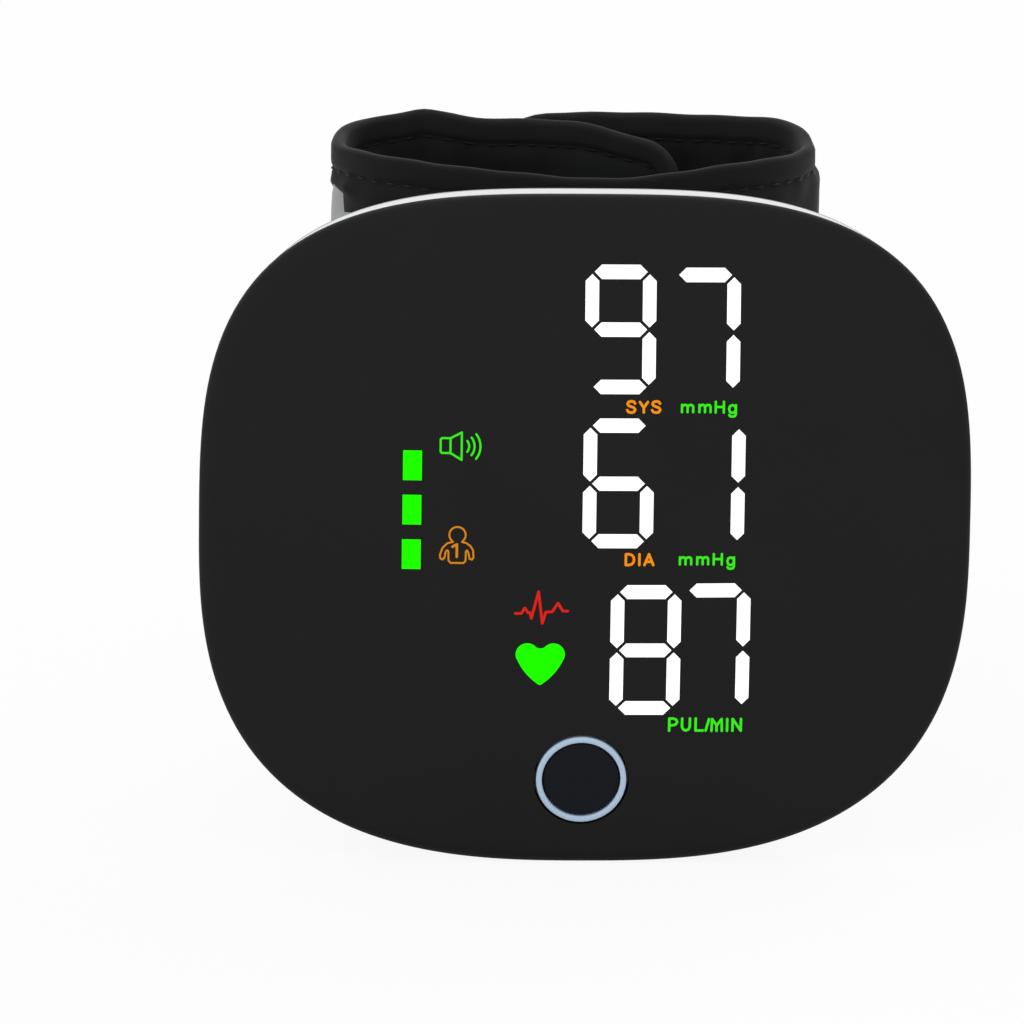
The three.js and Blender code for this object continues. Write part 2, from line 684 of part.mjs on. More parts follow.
// Display: a light block with a well behind each bar of the digits, and the mask film in front of it
function displayModule() {
  const front = DISPLAY_FRONT + SEAM;
  let block = toSolid(box(DISPLAY_LEFT, DISPLAY_RIGHT, front, BOARD_FRONT, DISPLAY_BOTTOM, DISPLAY_TOP));
  const across = DIGIT_WIDTH - SEGMENT_WIDTH;
  const along = (DIGIT_HEIGHT - SEGMENT_WIDTH) / 2;
  const level = plate(digitBar(across, false), front - 1, front + WELL_DEPTH);
  const upright = plate(digitBar(along, true), front - 1, front + WELL_DEPTH);
  const wells = [];
  for (const { z, columns } of DIGIT_ROWS) {
    for (const x of columns) {
      for (const step of [-1, 0, 1]) wells.push(level.clone().translate(x, 0, z + step * along));
      for (const side of [-1, 1]) {
        const wellX = x + (side * across) / 2;
        for (const end of [-1, 1]) wells.push(upright.clone().translate(wellX, 0, z + (end * along) / 2));
      }
    }
  }
  for (const well of wells) block = cut(block, toSolid(well));
  return toGeometry(cut(block, buttonRoom()));
}

// Room for the button's flange at its full travel, on the button's own axis
function buttonRoom() {
  const room = rodY(buttonRadius + GAP, 0, 0, flangeBack + BUTTON_TRAVEL + GAP, 0);
  return toSolid(room.rotateX(buttonFrame.rotation.x).translate(BUTTON_X, buttonDepth, BUTTON_Z));
}

function displayMask() {
  const maskFront = DISPLAY_FRONT - MASK_THICKNESS;
  const film = box(DISPLAY_LEFT, DISPLAY_RIGHT, maskFront, DISPLAY_FRONT, DISPLAY_BOTTOM, DISPLAY_TOP);
  return toGeometry(cut(toSolid(film), buttonRoom()));
}
add('display_module', displayModule(), whiteReflector);
add('display_mask', displayMask(), softBlack);

// Chips, speaker and cell on the back of the board
const chip = squareBlock(CHIP_SIZE, CHIP_X, CHIP_Z, BOARD_BACK, BOARD_BACK + CHIP_HEIGHT);
add('controller_chip', chip, blackPlastic);

const sensorBack = BOARD_BACK + SENSOR_HEIGHT;
const sensorBody = squareBlock(SENSOR_SIZE, SENSOR_X, NOZZLE_Z, BOARD_BACK, sensorBack);
const sensorPort = rodY(BARB_RADIUS / 2, SENSOR_X, BOARD_BACK + 1, sensorBack + 1, NOZZLE_Z);
add('pressure_sensor', toGeometry(cut(toSolid(sensorBody), toSolid(sensorPort))), steel);

const speakerFront = BOARD_BACK + SEAM;
const speakerBack = speakerFront + SPEAKER_HEIGHT;
const speaker = rodY(SPEAKER_RADIUS, SPEAKER_X, speakerFront, speakerBack, SPEAKER_Z, 2 * ROUND_SIDES);
add('voice_speaker', speaker, blackPlastic);

const cellFront = BOARD_BACK + CELL_PAD;
const cellBottom = CELL_TOP - CELL_HEIGHT;
add('battery_pad', box(
  CELL_LEFT + FOAM_MARGIN, CELL_LEFT + CELL_WIDTH - FOAM_MARGIN,
  BOARD_BACK, cellFront,
  cellBottom + FOAM_MARGIN, CELL_TOP - FOAM_MARGIN,
), rubber);
const cellShape = roundedRectangle(CELL_LEFT, CELL_LEFT + CELL_WIDTH, cellBottom, CELL_TOP, CELL_CORNER);
add('battery_cell', plate(cellShape, cellFront, cellFront + CELL_THICKNESS), cellFoil);

// Charging socket: a thin oval shell, open at the mouth, with a contact tongue
function usbSocket() {
  const oval = (wall) => {
    const halfHeight = USB_HEIGHT / 2 - wall;
    const halfWidth = USB_WIDTH / 2 - wall;
    return roundedRectangle(-halfHeight, halfHeight, -halfWidth, halfWidth, halfHeight * USB_ROUND);
  };
  const pull = (shape, x0, x1) => {
    const extrusion = { depth: x1 - x0, bevelEnabled: false, curveSegments: 5 };
    const geometry = new THREE.ExtrudeGeometry(shape, extrusion);
    return geometry.rotateX(Math.PI / 2).rotateZ(Math.PI / 2).translate(x0, usbMiddle, 0);
  };
  const shell = toSolid(pull(oval(0), usbInside, usbMouth));
  const hollow = toSolid(pull(oval(USB_WALL), usbInside + 2 * USB_WALL, usbMouth + 1));
  const tongueHalf = USB_WIDTH / 2 - USB_TONGUE_MARGIN;
  const tongue = toSolid(box(
    usbInside + USB_WALL, usbMouth - USB_SETBACK,
    usbMiddle - USB_WALL, usbMiddle + USB_WALL,
    -tongueHalf, tongueHalf,
  ));
  return toGeometry(join(cut(shell, hollow), tongue));
}
add('usb_socket', usbSocket(), steel);

// Air system: pump, valve and sensor meet in a manifold, which feeds the nozzle into the cuff
const motorEnd = PUMP_LEFT + MOTOR_LENGTH;
const headStart = motorEnd + SEAM;
const headEnd = headStart + PUMP_HEAD_LENGTH;
const pumpBarbX = (headStart + headEnd) / 2;
const pumpBottom = PUMP_Z - PUMP_RADIUS;
const valveY = BOARD_BACK + SEAM + VALVE_RADIUS;
const valveBarbX = VALVE_LEFT + VALVE_LENGTH / 4;
const valveBottom = PUMP_Z - VALVE_RADIUS;
const manifoldTop = NOZZLE_Z + MANIFOLD_HALF;
const manifoldBack = AIR_Y + MANIFOLD_HALF;

function pumpMotor() {
  const can = toSolid(rodX(PUMP_RADIUS, PUMP_LEFT, motorEnd, PUMP_Y, PUMP_Z, 2 * ROUND_SIDES));
  const flat = PUMP_RADIUS * MOTOR_FLAT;
  const tall = 2 * PUMP_RADIUS;
  const slab = toSolid(box(
    PUMP_LEFT - 1, motorEnd + 1, PUMP_Y - flat, PUMP_Y + flat, PUMP_Z - tall, PUMP_Z + tall,
  ));
  const hub = toSolid(rodX(SHAFT_HUB, PUMP_LEFT - SCREW_SHANK, PUMP_LEFT + 1, PUMP_Y, PUMP_Z));
  return toGeometry(join(can.intersect(slab), hub));
}
add('pump_motor', pumpMotor(), steel);

function pumpHead() {
  const head = toSolid(rodX(PUMP_RADIUS, headStart, headEnd, PUMP_Y, PUMP_Z, ROUND_SIDES));
  const barb = toSolid(rodZ(BARB_RADIUS, pumpBarbX, AIR_Y, pumpBottom - BARB_LENGTH, PUMP_Z));
  return toGeometry(join(head, barb));
}
add('pump_head', pumpHead(), blackPlastic);
add('pump_pad', box(
  PUMP_LEFT + FOAM_MARGIN, headEnd - FOAM_MARGIN,
  BOARD_BACK, PUMP_Y - PUMP_RADIUS,
  PUMP_Z - PUMP_RADIUS / 2, PUMP_Z + PUMP_RADIUS / 2,
), rubber);

function exhaustValve() {
  const can = toSolid(rodX(VALVE_RADIUS, VALVE_LEFT, VALVE_LEFT + VALVE_LENGTH, valveY, PUMP_Z, ROUND_SIDES));
  const barb = toSolid(rodZ(BARB_RADIUS, valveBarbX, AIR_Y, valveBottom - BARB_LENGTH, PUMP_Z));
  return toGeometry(join(can, barb));
}
add('exhaust_valve', exhaustValve(), steel);

function airManifold() {
  const overhang = 2 * MANIFOLD_HALF;
  const bar = toSolid(rodX(MANIFOLD_HALF, pumpBarbX - overhang, valveBarbX + overhang, AIR_Y, NOZZLE_Z));
  const pumpBarb = toSolid(rodZ(BARB_RADIUS, pumpBarbX, AIR_Y, NOZZLE_Z, manifoldTop + BARB_LENGTH));
  const valveBarb = toSolid(rodZ(BARB_RADIUS, valveBarbX, AIR_Y, NOZZLE_Z, manifoldTop + BARB_LENGTH));
  const cuffBarb = toSolid(rodY(BARB_RADIUS, NOZZLE_X, AIR_Y, manifoldBack + BARB_LENGTH, NOZZLE_Z));
  return toGeometry(join(bar, pumpBarb, valveBarb, cuffBarb));
}
add('air_manifold', airManifold(), whitePlastic);

// Short rubber tubes over the barbs, and the gasket between the sensor and the manifold
function tube(from, to, radius = TUBE_RADIUS) {
  const ring = new THREE.Shape().absarc(0, 0, radius, 0, 2 * Math.PI, false);
  ring.holes.push(new THREE.Path().absarc(0, 0, TUBE_BORE, 0, 2 * Math.PI, true));
  const extrudePath = new THREE.LineCurve3(from, to);
  return new THREE.ExtrudeGeometry(ring, { steps: 1, curveSegments: TUBE_SIDES / 2, extrudePath });
}
const nozzleFlangeFront = saddleInside - SEAL_WALL - FLANGE_WALL - 2 * SEAM;
const nozzleBarbFront = nozzleFlangeFront - BARB_LENGTH;
add('pump_tube', tube(
  new THREE.Vector3(pumpBarbX, AIR_Y, manifoldTop + GAP),
  new THREE.Vector3(pumpBarbX, AIR_Y, pumpBottom - GAP),
), clearRubber);
add('valve_tube', tube(
  new THREE.Vector3(valveBarbX, AIR_Y, manifoldTop + GAP),
  new THREE.Vector3(valveBarbX, AIR_Y, valveBottom - GAP),
), clearRubber);
add('cuff_tube', tube(
  new THREE.Vector3(NOZZLE_X, manifoldBack + GAP, NOZZLE_Z),
  new THREE.Vector3(NOZZLE_X, nozzleFlangeFront - GAP, NOZZLE_Z),
), clearRubber);
add('sensor_gasket', tube(
  new THREE.Vector3(SENSOR_X, sensorBack + SEAM / 2, NOZZLE_Z),
  new THREE.Vector3(SENSOR_X, AIR_Y - MANIFOLD_HALF - SEAM / 2, NOZZLE_Z),
), rubber);

// Cuff nozzle: a barbed pipe with a flange and seal inside the case, through the saddle to the bladder
const nozzleEnd = LOOP_FRONT + COVER_WALL;
function around(profile, sides) {
  return turned(profile, sides).translate(NOZZLE_X, 0, NOZZLE_Z);
}
add('cuff_nozzle', around([
  [NOZZLE_BORE, nozzleBarbFront],
  [NOZZLE_BORE, nozzleEnd],
  [NOZZLE_RADIUS, nozzleEnd],
  [NOZZLE_RADIUS, nozzleFlangeFront + FLANGE_WALL],
  [NOZZLE_FLANGE, nozzleFlangeFront + FLANGE_WALL],
  [NOZZLE_FLANGE, nozzleFlangeFront],
  [BARB_RADIUS, nozzleFlangeFront],
  [BARB_RADIUS, nozzleBarbFront],
  [NOZZLE_BORE, nozzleBarbFront],
], ROUND_SIDES), whitePlastic);
const sealFront = nozzleFlangeFront + FLANGE_WALL + SEAM;
add('nozzle_seal', around([
  [NOZZLE_RADIUS + GAP, sealFront],
  [NOZZLE_RADIUS + GAP, sealFront + SEAL_WALL],
  [NOZZLE_FLANGE, sealFront + SEAL_WALL],
  [NOZZLE_FLANGE, sealFront],
  [NOZZLE_RADIUS + GAP, sealFront],
], ROUND_SIDES), rubber);

// Bands of the cuff: a soft-edged strip along a path, between two depths below the outer surface.
// All bands of a path bend at the same distances, so that their layers stay parallel.
function along(path, distance, side) {
  const length = path.getLength();
  const inside = THREE.MathUtils.clamp(distance, 0, length);
  const tangent = path.getTangentAt(inside / length);
  const point = path.getPointAt(inside / length).addScaledVector(tangent, distance - inside);
  const inward = new THREE.Vector2(-tangent.y, tangent.x).multiplyScalar(side);
  return { point, inward };
}

function band({ path, side = 1, start, end, outer, inner, bottom, top, tipRadius = 0, soft = 0 }) {
  const straightEnd = end - tipRadius;
  const distances = [start];
  for (let step = Math.ceil(start / BAND_STEP + 1 / 2); step < straightEnd / BAND_STEP - 1 / 2; step += 1) {
    distances.push(step * BAND_STEP);
  }
  distances.push(straightEnd);
  if (tipRadius > 0) {
    for (const turn of [25, 50, 72, 90]) {
      distances.push(straightEnd + tipRadius * Math.sin(THREE.MathUtils.degToRad(turn)));
    }
  }
  const rings = distances.map((distance) => {
    const past = Math.max(0, distance - straightEnd);
    const trim = tipRadius - Math.sqrt(Math.max(0, tipRadius ** 2 - past ** 2));
    const low = bottom + trim;
    const high = top - trim;
    const { point, inward } = along(path, distance, side);
    const corners = [
      [outer, low + soft], [outer, high - soft], [outer + soft, high], [inner - soft, high],
      [inner, high - soft], [inner, low + soft], [inner - soft, low], [outer + soft, low],
    ];
    const section = soft > 0 ? corners : [[outer, low], [outer, high], [inner, high], [inner, low]];
    return section.map(([depth, z]) => {
      const place = point.clone().addScaledVector(inward, depth);
      return new THREE.Vector3(place.x, place.y, z);
    });
  });
  return loft(rings);
}

// One stretch of the cuff: cover with turned hems, the bladder in its pocket and the lining that closes it
const bladderDepth = COVER_WALL + CUFF_GAP;
const liningDepth = bladderDepth + BLADDER_WALL + CUFF_GAP;

function cuffStretch(path, side, tipRadius) {
  const start = GAP / 2;
  const end = path.getLength() - (tipRadius > 0 ? 0 : GAP / 2);
  const whole = { path, side, start, end, bottom: CUFF_BOTTOM, top: CUFF_TOP, tipRadius };
  const inset = (margin) => ({
    ...whole,
    bottom: CUFF_BOTTOM + margin,
    top: CUFF_TOP - margin,
    end: tipRadius > 0 ? end - margin : end,
    tipRadius: Math.max(0, tipRadius - margin),
  });
  const pocket = { ...inset(HEM), start: start - 1, outer: COVER_WALL, inner: CUFF_THICKNESS + 1 };
  if (tipRadius === 0) pocket.end = end + 1;
  const skin = toSolid(band({ ...whole, outer: 0, inner: CUFF_THICKNESS, soft: HEM_SOFT }));
  const filling = inset(HEM + GAP);
  return {
    cover: cut(skin, toSolid(band(pocket))),
    bladder: toSolid(band({ ...filling, outer: bladderDepth, inner: bladderDepth + BLADDER_WALL })),
    lining: toSolid(band({ ...filling, outer: liningDepth, inner: CUFF_THICKNESS })),
  };
}

function addStretch(name, { cover, bladder, lining }) {
  add(`cuff_cover_${name}`, toGeometry(cover), nylon);
  add(`bladder_${name}`, toGeometry(bladder), rubber);
  add(`cuff_lining_${name}`, toGeometry(lining), softBlack);
}

// Middle of the cuff, with the nozzle's hole through its cover and the bladder's inlet
const middlePath = loopPath(-BEND_ANGLE, BEND_ANGLE);
const middle = cuffStretch(middlePath, 1, 0);
const inletReach = LOOP_FRONT + liningDepth - CUFF_GAP / 2;
const coverReach = LOOP_FRONT + bladderDepth;
const coverHole = toSolid(rodY(NOZZLE_RADIUS + GAP, NOZZLE_X, LOOP_FRONT - 1, coverReach, NOZZLE_Z));
const inletHole = toSolid(rodY(NOZZLE_BORE, NOZZLE_X, LOOP_FRONT, inletReach, NOZZLE_Z));
addStretch('center', {
  cover: cut(middle.cover, coverHole),
  bladder: cut(middle.bladder, inletHole),
  lining: middle.lining,
});

// Wings: the right one wraps outside, the left one steps in under it and lifts off towards its tip
const wingStep = CUFF_THICKNESS + 2 * PAD_WALL + 4 * CUFF_GAP;
function innerOutset(degrees) {
  const turn = -degrees;
  const stepEnd = 360 - OUTER_WING_END - STEP_LEAD;
  const step = wingStep * THREE.MathUtils.smoothstep(turn, STEP_START, stepEnd);
  const lift = TIP_LIFT * ((Math.max(0, turn - LIFT_START) / (INNER_WING_END - LIFT_START)) ** 2);
  return -step - lift;
}
const outerPath = loopPath(BEND_ANGLE, OUTER_WING_END);
const innerPath = loopPath(-BEND_ANGLE, -INNER_WING_END, innerOutset);
addStretch('right', cuffStretch(outerPath, 1, WING_RADIUS));
addStretch('left', cuffStretch(innerPath, -1, WING_RADIUS));

// Hook pad inside the outer wing, loop pad outside the inner wing
const padSpan = {
  bottom: CUFF_BOTTOM + HEM + PAD_MARGIN,
  top: CUFF_TOP - HEM - PAD_MARGIN,
  tipRadius: PAD_MARGIN / 2,
};
const hookEnd = outerPath.getLength() - PAD_MARGIN;
add('hook_pad', band({
  ...padSpan,
  path: outerPath,
  start: hookEnd - PAD_LENGTH,
  end: hookEnd,
  outer: CUFF_THICKNESS + CUFF_GAP,
  inner: CUFF_THICKNESS + CUFF_GAP + PAD_WALL,
}), softBlack);
const loopEnd = innerPath.getLength() - PAD_MARGIN;
add('loop_pad', band({
  ...padSpan,
  path: innerPath,
  side: -1,
  start: loopEnd - PAD_LENGTH,
  end: loopEnd,
  outer: -CUFF_GAP - PAD_WALL,
  inner: -CUFF_GAP,
}), softBlack);

// Cuff plate: a curved strip between the saddle and the cuff, held by four clips through the saddle
function cuffPlate() {
  const path = loopPath(-PLATE_ANGLE, PLATE_ANGLE);
  let strip = toSolid(band({
    path,
    start: 0,
    end: path.getLength(),
    outer: -CUFF_GAP - PLATE_WALL,
    inner: -CUFF_GAP,
    bottom: -PLATE_HEIGHT / 2,
    top: PLATE_HEIGHT / 2,
  }));
  for (const { x, z } of clips) {
    const hookSide = Math.sign(z) * CLIP_HOOK;
    const tab = box(
      x - CLIP_WIDTH / 2, x + CLIP_WIDTH / 2,
      clipFront, clipSeat + SADDLE_GAP - 2 * CUFF_GAP,
      z - CLIP_WALL / 2, z + CLIP_WALL / 2,
    );
    const hook = box(
      x - CLIP_WIDTH / 2, x + CLIP_WIDTH / 2,
      clipFront, clipFront + CLIP_HOOK,
      z - CLIP_WALL / 2 + Math.min(0, hookSide), z + CLIP_WALL / 2 + Math.max(0, hookSide),
    );
    strip = join(strip, toSolid(tab), toSolid(hook));
  }
  const nozzleHole = rodY(NOZZLE_RADIUS + GAP, NOZZLE_X, saddleInside, LOOP_CENTRE, NOZZLE_Z);
  return toGeometry(cut(strip, toSolid(nozzleHole)));
}
add('cuff_plate', cuffPlate(), blackPlastic);

export default monitor;
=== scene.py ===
import json
import math

import bmesh
import bpy
import numpy as np
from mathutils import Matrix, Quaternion, Vector


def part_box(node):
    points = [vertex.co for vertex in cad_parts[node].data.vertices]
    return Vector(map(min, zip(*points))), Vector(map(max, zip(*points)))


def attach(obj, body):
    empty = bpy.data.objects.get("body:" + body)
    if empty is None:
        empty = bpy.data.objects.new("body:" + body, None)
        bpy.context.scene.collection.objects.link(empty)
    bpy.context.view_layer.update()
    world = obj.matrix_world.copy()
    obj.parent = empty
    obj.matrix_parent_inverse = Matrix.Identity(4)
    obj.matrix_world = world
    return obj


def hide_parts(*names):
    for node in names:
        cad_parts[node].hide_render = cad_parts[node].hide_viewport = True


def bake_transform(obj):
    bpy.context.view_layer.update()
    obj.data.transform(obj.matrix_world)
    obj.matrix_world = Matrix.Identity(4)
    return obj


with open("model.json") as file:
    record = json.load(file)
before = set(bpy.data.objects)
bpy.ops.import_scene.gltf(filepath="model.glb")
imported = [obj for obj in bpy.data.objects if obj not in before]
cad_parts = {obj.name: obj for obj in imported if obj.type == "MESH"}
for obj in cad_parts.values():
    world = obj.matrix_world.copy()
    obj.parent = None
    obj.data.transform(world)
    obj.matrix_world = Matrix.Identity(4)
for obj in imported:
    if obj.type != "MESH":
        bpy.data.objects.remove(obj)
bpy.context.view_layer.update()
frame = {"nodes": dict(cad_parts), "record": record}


# Studio: a wide white floor, a broad soft panel above on the left and a weaker one behind on the right.
# The surround is plain white to the camera and in reflections, and the floor keeps the part's shadow.
class Wire:
    """A shader socket. Sums and products of wires add their Math nodes, and node() adds any other node."""

    def __init__(self, tree, socket=None):
        self.tree = tree
        self.socket = socket

    def node(self, kind, settings=None, inputs=None, output=0):
        made = self.tree.nodes.new(kind)
        for name, value in (settings or {}).items():
            setattr(made, name, value)
        for name, value in (inputs or {}).items():
            if isinstance(value, Wire):
                self.tree.links.new(value.socket, made.inputs[name])
            else:
                made.inputs[name].default_value = value
        return Wire(self.tree, made.outputs[output])

    def into(self, socket):
        self.tree.links.new(self.socket, socket)

    def math(self, operation, other=0.0):
        return self.node("ShaderNodeMath", {"operation": operation}, {0: self, 1: other})

    def __add__(self, other):
        return self.math("ADD", other)

    def __sub__(self, other):
        return self.math("SUBTRACT", other)

    def __rsub__(self, other):
        return self.node("ShaderNodeMath", {"operation": "SUBTRACT"}, {0: other, 1: self})

    def __mul__(self, other):
        return self.math("MULTIPLY", other)

    __radd__ = __add__
    __rmul__ = __mul__


def seen_directly(start):
    """1 for rays from the camera, from gloss and through glass, 0 for the light that falls on the part."""
    seen = start.node("ShaderNodeLightPath", output="Is Camera Ray")
    rays = seen.socket.node.outputs
    for ray in ("Is Glossy Ray", "Is Transmission Ray"):
        seen = seen.math("MAXIMUM", Wire(start.tree, rays[ray]))
    return seen


def put_in(name, data):
    """A new object with the given mesh, lamp or camera, put into the scene."""
    made = bpy.data.objects.new(name, data)
    bpy.context.collection.objects.link(made)
    return made


SURROUND_LIGHT = 0.72
FLOOR_SIZE = 6.0
FLOOR_PALE = 0.94
FLOOR_GLOW = 0.91
FLOOR_CORNERS = [(-1, -1), (1, -1), (1, 1), (-1, 1)]
PANEL_AIM = (0, 0, 0.04)

world = bpy.data.worlds.new("studio")
world.use_nodes = True
bpy.context.scene.world = world
surround = world.node_tree.nodes["Background"]
surround.inputs["Color"].default_value = (1, 1, 1, 1)
sky_seen = seen_directly(Wire(world.node_tree))
(SURROUND_LIGHT + sky_seen * (1 - SURROUND_LIGHT)).into(surround.inputs["Strength"])

floor_mesh = bpy.data.meshes.new("floor")
half_floor = FLOOR_SIZE / 2
floor_mesh.from_pydata([(x * half_floor, y * half_floor, 0) for x, y in FLOOR_CORNERS], [], [(0, 1, 2, 3)])
floor = put_in("floor", floor_mesh)
floor_paint = bpy.data.materials.new("floor_white")
floor_paint.use_nodes = True
floor_tree = floor_paint.node_tree
floor_tree.nodes.remove(floor_tree.nodes["Principled BSDF"])
paint = Wire(floor_tree)
matt_white = paint.node("ShaderNodeBsdfDiffuse", inputs={"Color": (FLOOR_PALE, FLOOR_PALE, FLOOR_PALE, 1)})
plain_white = paint.node("ShaderNodeEmission", inputs={"Color": (1, 1, 1, 1), "Strength": 1.0})
floor_glow = seen_directly(paint) * FLOOR_GLOW
floor_mix = paint.node("ShaderNodeMixShader", inputs={0: floor_glow, 1: matt_white, 2: plain_white})
floor_mix.into(floor_tree.nodes["Material Output"].inputs["Surface"])
floor_mesh.materials.append(floor_paint)


def soft_panel(name, place, size, watts):
    """A round soft light that doesn't show in reflections."""
    lamp = bpy.data.lights.new(name, "AREA")
    lamp.shape = "DISK"
    lamp.size = size
    lamp.energy = watts
    panel = put_in(name, lamp)
    panel.location = place
    panel.rotation_euler = (Vector(PANEL_AIM) - Vector(place)).to_track_quat("-Z", "Y").to_euler()
    panel.visible_glossy = False


soft_panel("key_panel", place=(-0.55, -0.75, 0.95), size=0.7, watts=3.4)
soft_panel("back_panel", place=(0.6, 0.7, 0.8), size=0.6, watts=2.4)

# Camera: a long lens from a little above, on the left, at the photograph's viewing angle.
# The shift puts the part where the photograph's frame has it.
CAMERA_TURN = math.radians(-2.8)
CAMERA_RISE = math.radians(13.0)
CAMERA_ROLL = math.radians(0.85)
CAMERA_DISTANCE = 0.9
CAMERA_AIM = Vector((0, -0.0265, 0.038))
camera_data = bpy.data.cameras.new("camera")
camera_data.sensor_width = 36
camera_data.lens = 283.8
camera_data.shift_x = -0.0712
camera_data.shift_y = 0.0165
camera = put_in("camera", camera_data)
towards_camera = Vector((
    math.sin(CAMERA_TURN) * math.cos(CAMERA_RISE),
    -math.cos(CAMERA_TURN) * math.cos(CAMERA_RISE),
    math.sin(CAMERA_RISE),
))
camera.location = CAMERA_AIM + towards_camera * CAMERA_DISTANCE
camera_turn = (-towards_camera).to_track_quat("-Z", "Y") @ Quaternion((0, 0, 1), CAMERA_ROLL)
camera.rotation_euler = camera_turn.to_euler()
bpy.context.scene.camera = camera
bpy.context.scene.view_settings.view_transform = "Standard"

# Front panel: a domed shell of black acrylic with a rounded edge, one moulding fixed in front of the rim.
# Sizes here are millimetres from the face: x to the right, y from the front backwards, z up from the middle.
panel_low, panel_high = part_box("front_panel")
FACE_ZERO = np.array([0.0, panel_low.y, (panel_low.z + panel_high.z) / 2])
MM = 0.001
HALF_WIDTH = 43.0
HALF_HEIGHT = 38.0
UPPER_EXPONENT = 3.18
LOWER_EXPONENT = 2.72
BLOCK_EXPONENT = 22.0
OUTLINE_STEPS = 224
DOME_RISE = 2.6
DOME_FLAT = 0.15
EDGE_INSET = 2.0
EDGE_DEPTH = 2.0
DOME_RINGS = 22
EDGE_RINGS = 13
PANEL_BACK = 5.5
PANEL_BREAK = 0.12
PANEL_WALL = 1.4
UNDERSIDE_SHARES = (0.97, 0.75, 0.4, DOME_FLAT)


def to_frame(points):
    """Face millimetres to the part's own frame in metres."""
    return np.asarray(points, float) * MM + FACE_ZERO


def make_piece(name, points, faces):
    """A closed body from face millimetres, its faces turned outwards."""
    mesh = bpy.data.meshes.new(name)
    mesh.from_pydata(to_frame(points).tolist(), [], faces)
    mesh.validate()
    body = bmesh.new()
    body.from_mesh(mesh)
    if body.calc_volume(signed=True) < 0:
        mesh.flip_normals()
    body.free()
    return put_in(name, mesh)


def shade(piece, sharp_degrees=35):
    """Smooth shading that breaks at the sharp edges."""
    piece.data.polygons.foreach_set("use_smooth", [True] * len(piece.data.polygons))
    piece.data.set_sharp_from_angle(angle=math.radians(sharp_degrees))
    return piece


def super_radius(angle, half_width, half_height, exponent):
    """Distance from the middle of a rounded square to its edge; a larger exponent has squarer corners."""
    across = np.abs(np.cos(angle)) / half_width
    along = np.abs(np.sin(angle)) / half_height
    return (across ** exponent + along ** exponent) ** (-1 / exponent)


def case_ring(y, half_width, upper_height, squareness=0.0, lower_height=None):
    """The case outline at depth y; squareness moves it from the face's outline to the block's."""
    angle = np.arange(OUTLINE_STEPS) * 2 * math.pi / OUTLINE_STEPS
    upper = np.sin(angle) >= 0
    face_exponent = np.where(upper, UPPER_EXPONENT, LOWER_EXPONENT)
    exponent = face_exponent + (BLOCK_EXPONENT - face_exponent) * squareness
    height = np.where(upper, upper_height, upper_height if lower_height is None else lower_height)
    radius = super_radius(angle, half_width, height, exponent)
    return np.column_stack([radius * np.cos(angle), np.full(OUTLINE_STEPS, y), radius * np.sin(angle)])


def face_ring(y, inset, share=1.0):
    """The panel's outline at depth y, drawn in by an inset and then scaled."""
    return case_ring(y, (HALF_WIDTH - inset) * share, (HALF_HEIGHT - inset) * share)


def loft(name, rings, closed=False):
    """A skin through rings of equal length, with a fan over each end, or joined end to end."""
    count = len(rings[0])
    points = np.concatenate(rings)
    faces = []
    spans = len(rings) if closed else len(rings) - 1
    for ring in range(spans):
        low = ring * count
        high = ((ring + 1) % len(rings)) * count
        for i in range(count):
            j = (i + 1) % count
            faces.append((low + i, low + j, high + j, high + i))
    if not closed:
        hubs = [rings[0].mean(axis=0), rings[-1].mean(axis=0)]
        points = np.concatenate([points, hubs])
        last = (len(rings) - 1) * count
        front_hub = len(rings) * count
        for i in range(count):
            j = (i + 1) % count
            faces.append((front_hub, j, i))
            faces.append((front_hub + 1, last + i, last + j))
    return make_piece(name, points, faces)


WELD = 0.002


def weld(mesh):
    """Joins corners that lie on each other, so that the body is closed."""
    body = bmesh.new()
    body.from_mesh(mesh)
    bmesh.ops.remove_doubles(body, verts=body.verts, dist=WELD * MM)
    bmesh.ops.dissolve_degenerate(body, edges=body.edges, dist=WELD * MM)
    body.to_mesh(mesh)
    body.free()
    return mesh


def carve(piece, tool, operation="DIFFERENCE"):
    """Cuts the tool from the piece, or joins it on, and keeps the welded result as the piece's own mesh."""
    step = piece.modifiers.new("carve", "BOOLEAN")
    step.operation = operation
    step.solver = "EXACT"
    step.object = tool
    result = bpy.data.meshes.new_from_object(piece.evaluated_get(bpy.context.evaluated_depsgraph_get()))
    piece.modifiers.clear()
    piece.data = weld(result)
    bpy.data.objects.remove(tool)
    return piece


def dome_depth(share):
    """Depth of the domed face at a share of the way from its middle to its edge."""
    return DOME_RISE * (share ** 2 - DOME_FLAT ** 2) / (1 - DOME_FLAT ** 2)


ROD_PHASE = 0.37


def round_ring(radius, depth, tilt, place, sides, phase=0.0):
    """A circle about y at the given depth, tilted about x and moved to its place."""
    angle = (np.arange(sides) + phase) * 2 * math.pi / sides
    turn = np.array([[1, 0, 0], [0, math.cos(tilt), -math.sin(tilt)], [0, math.sin(tilt), math.cos(tilt)]])
    ring = np.column_stack([radius * np.cos(angle), np.full(sides, depth), radius * np.sin(angle)])
    return ring @ turn.T + np.array(place)


def rod(name, radius, start, end, tilt=0.0, place=(0, 0, 0), sides=96):
    """A round bar along y, tilted and moved; its phase keeps its corners off those of what it cuts."""
    return loft(name, [round_ring(radius, y, tilt, place, sides, ROD_PHASE) for y in (start, end)])


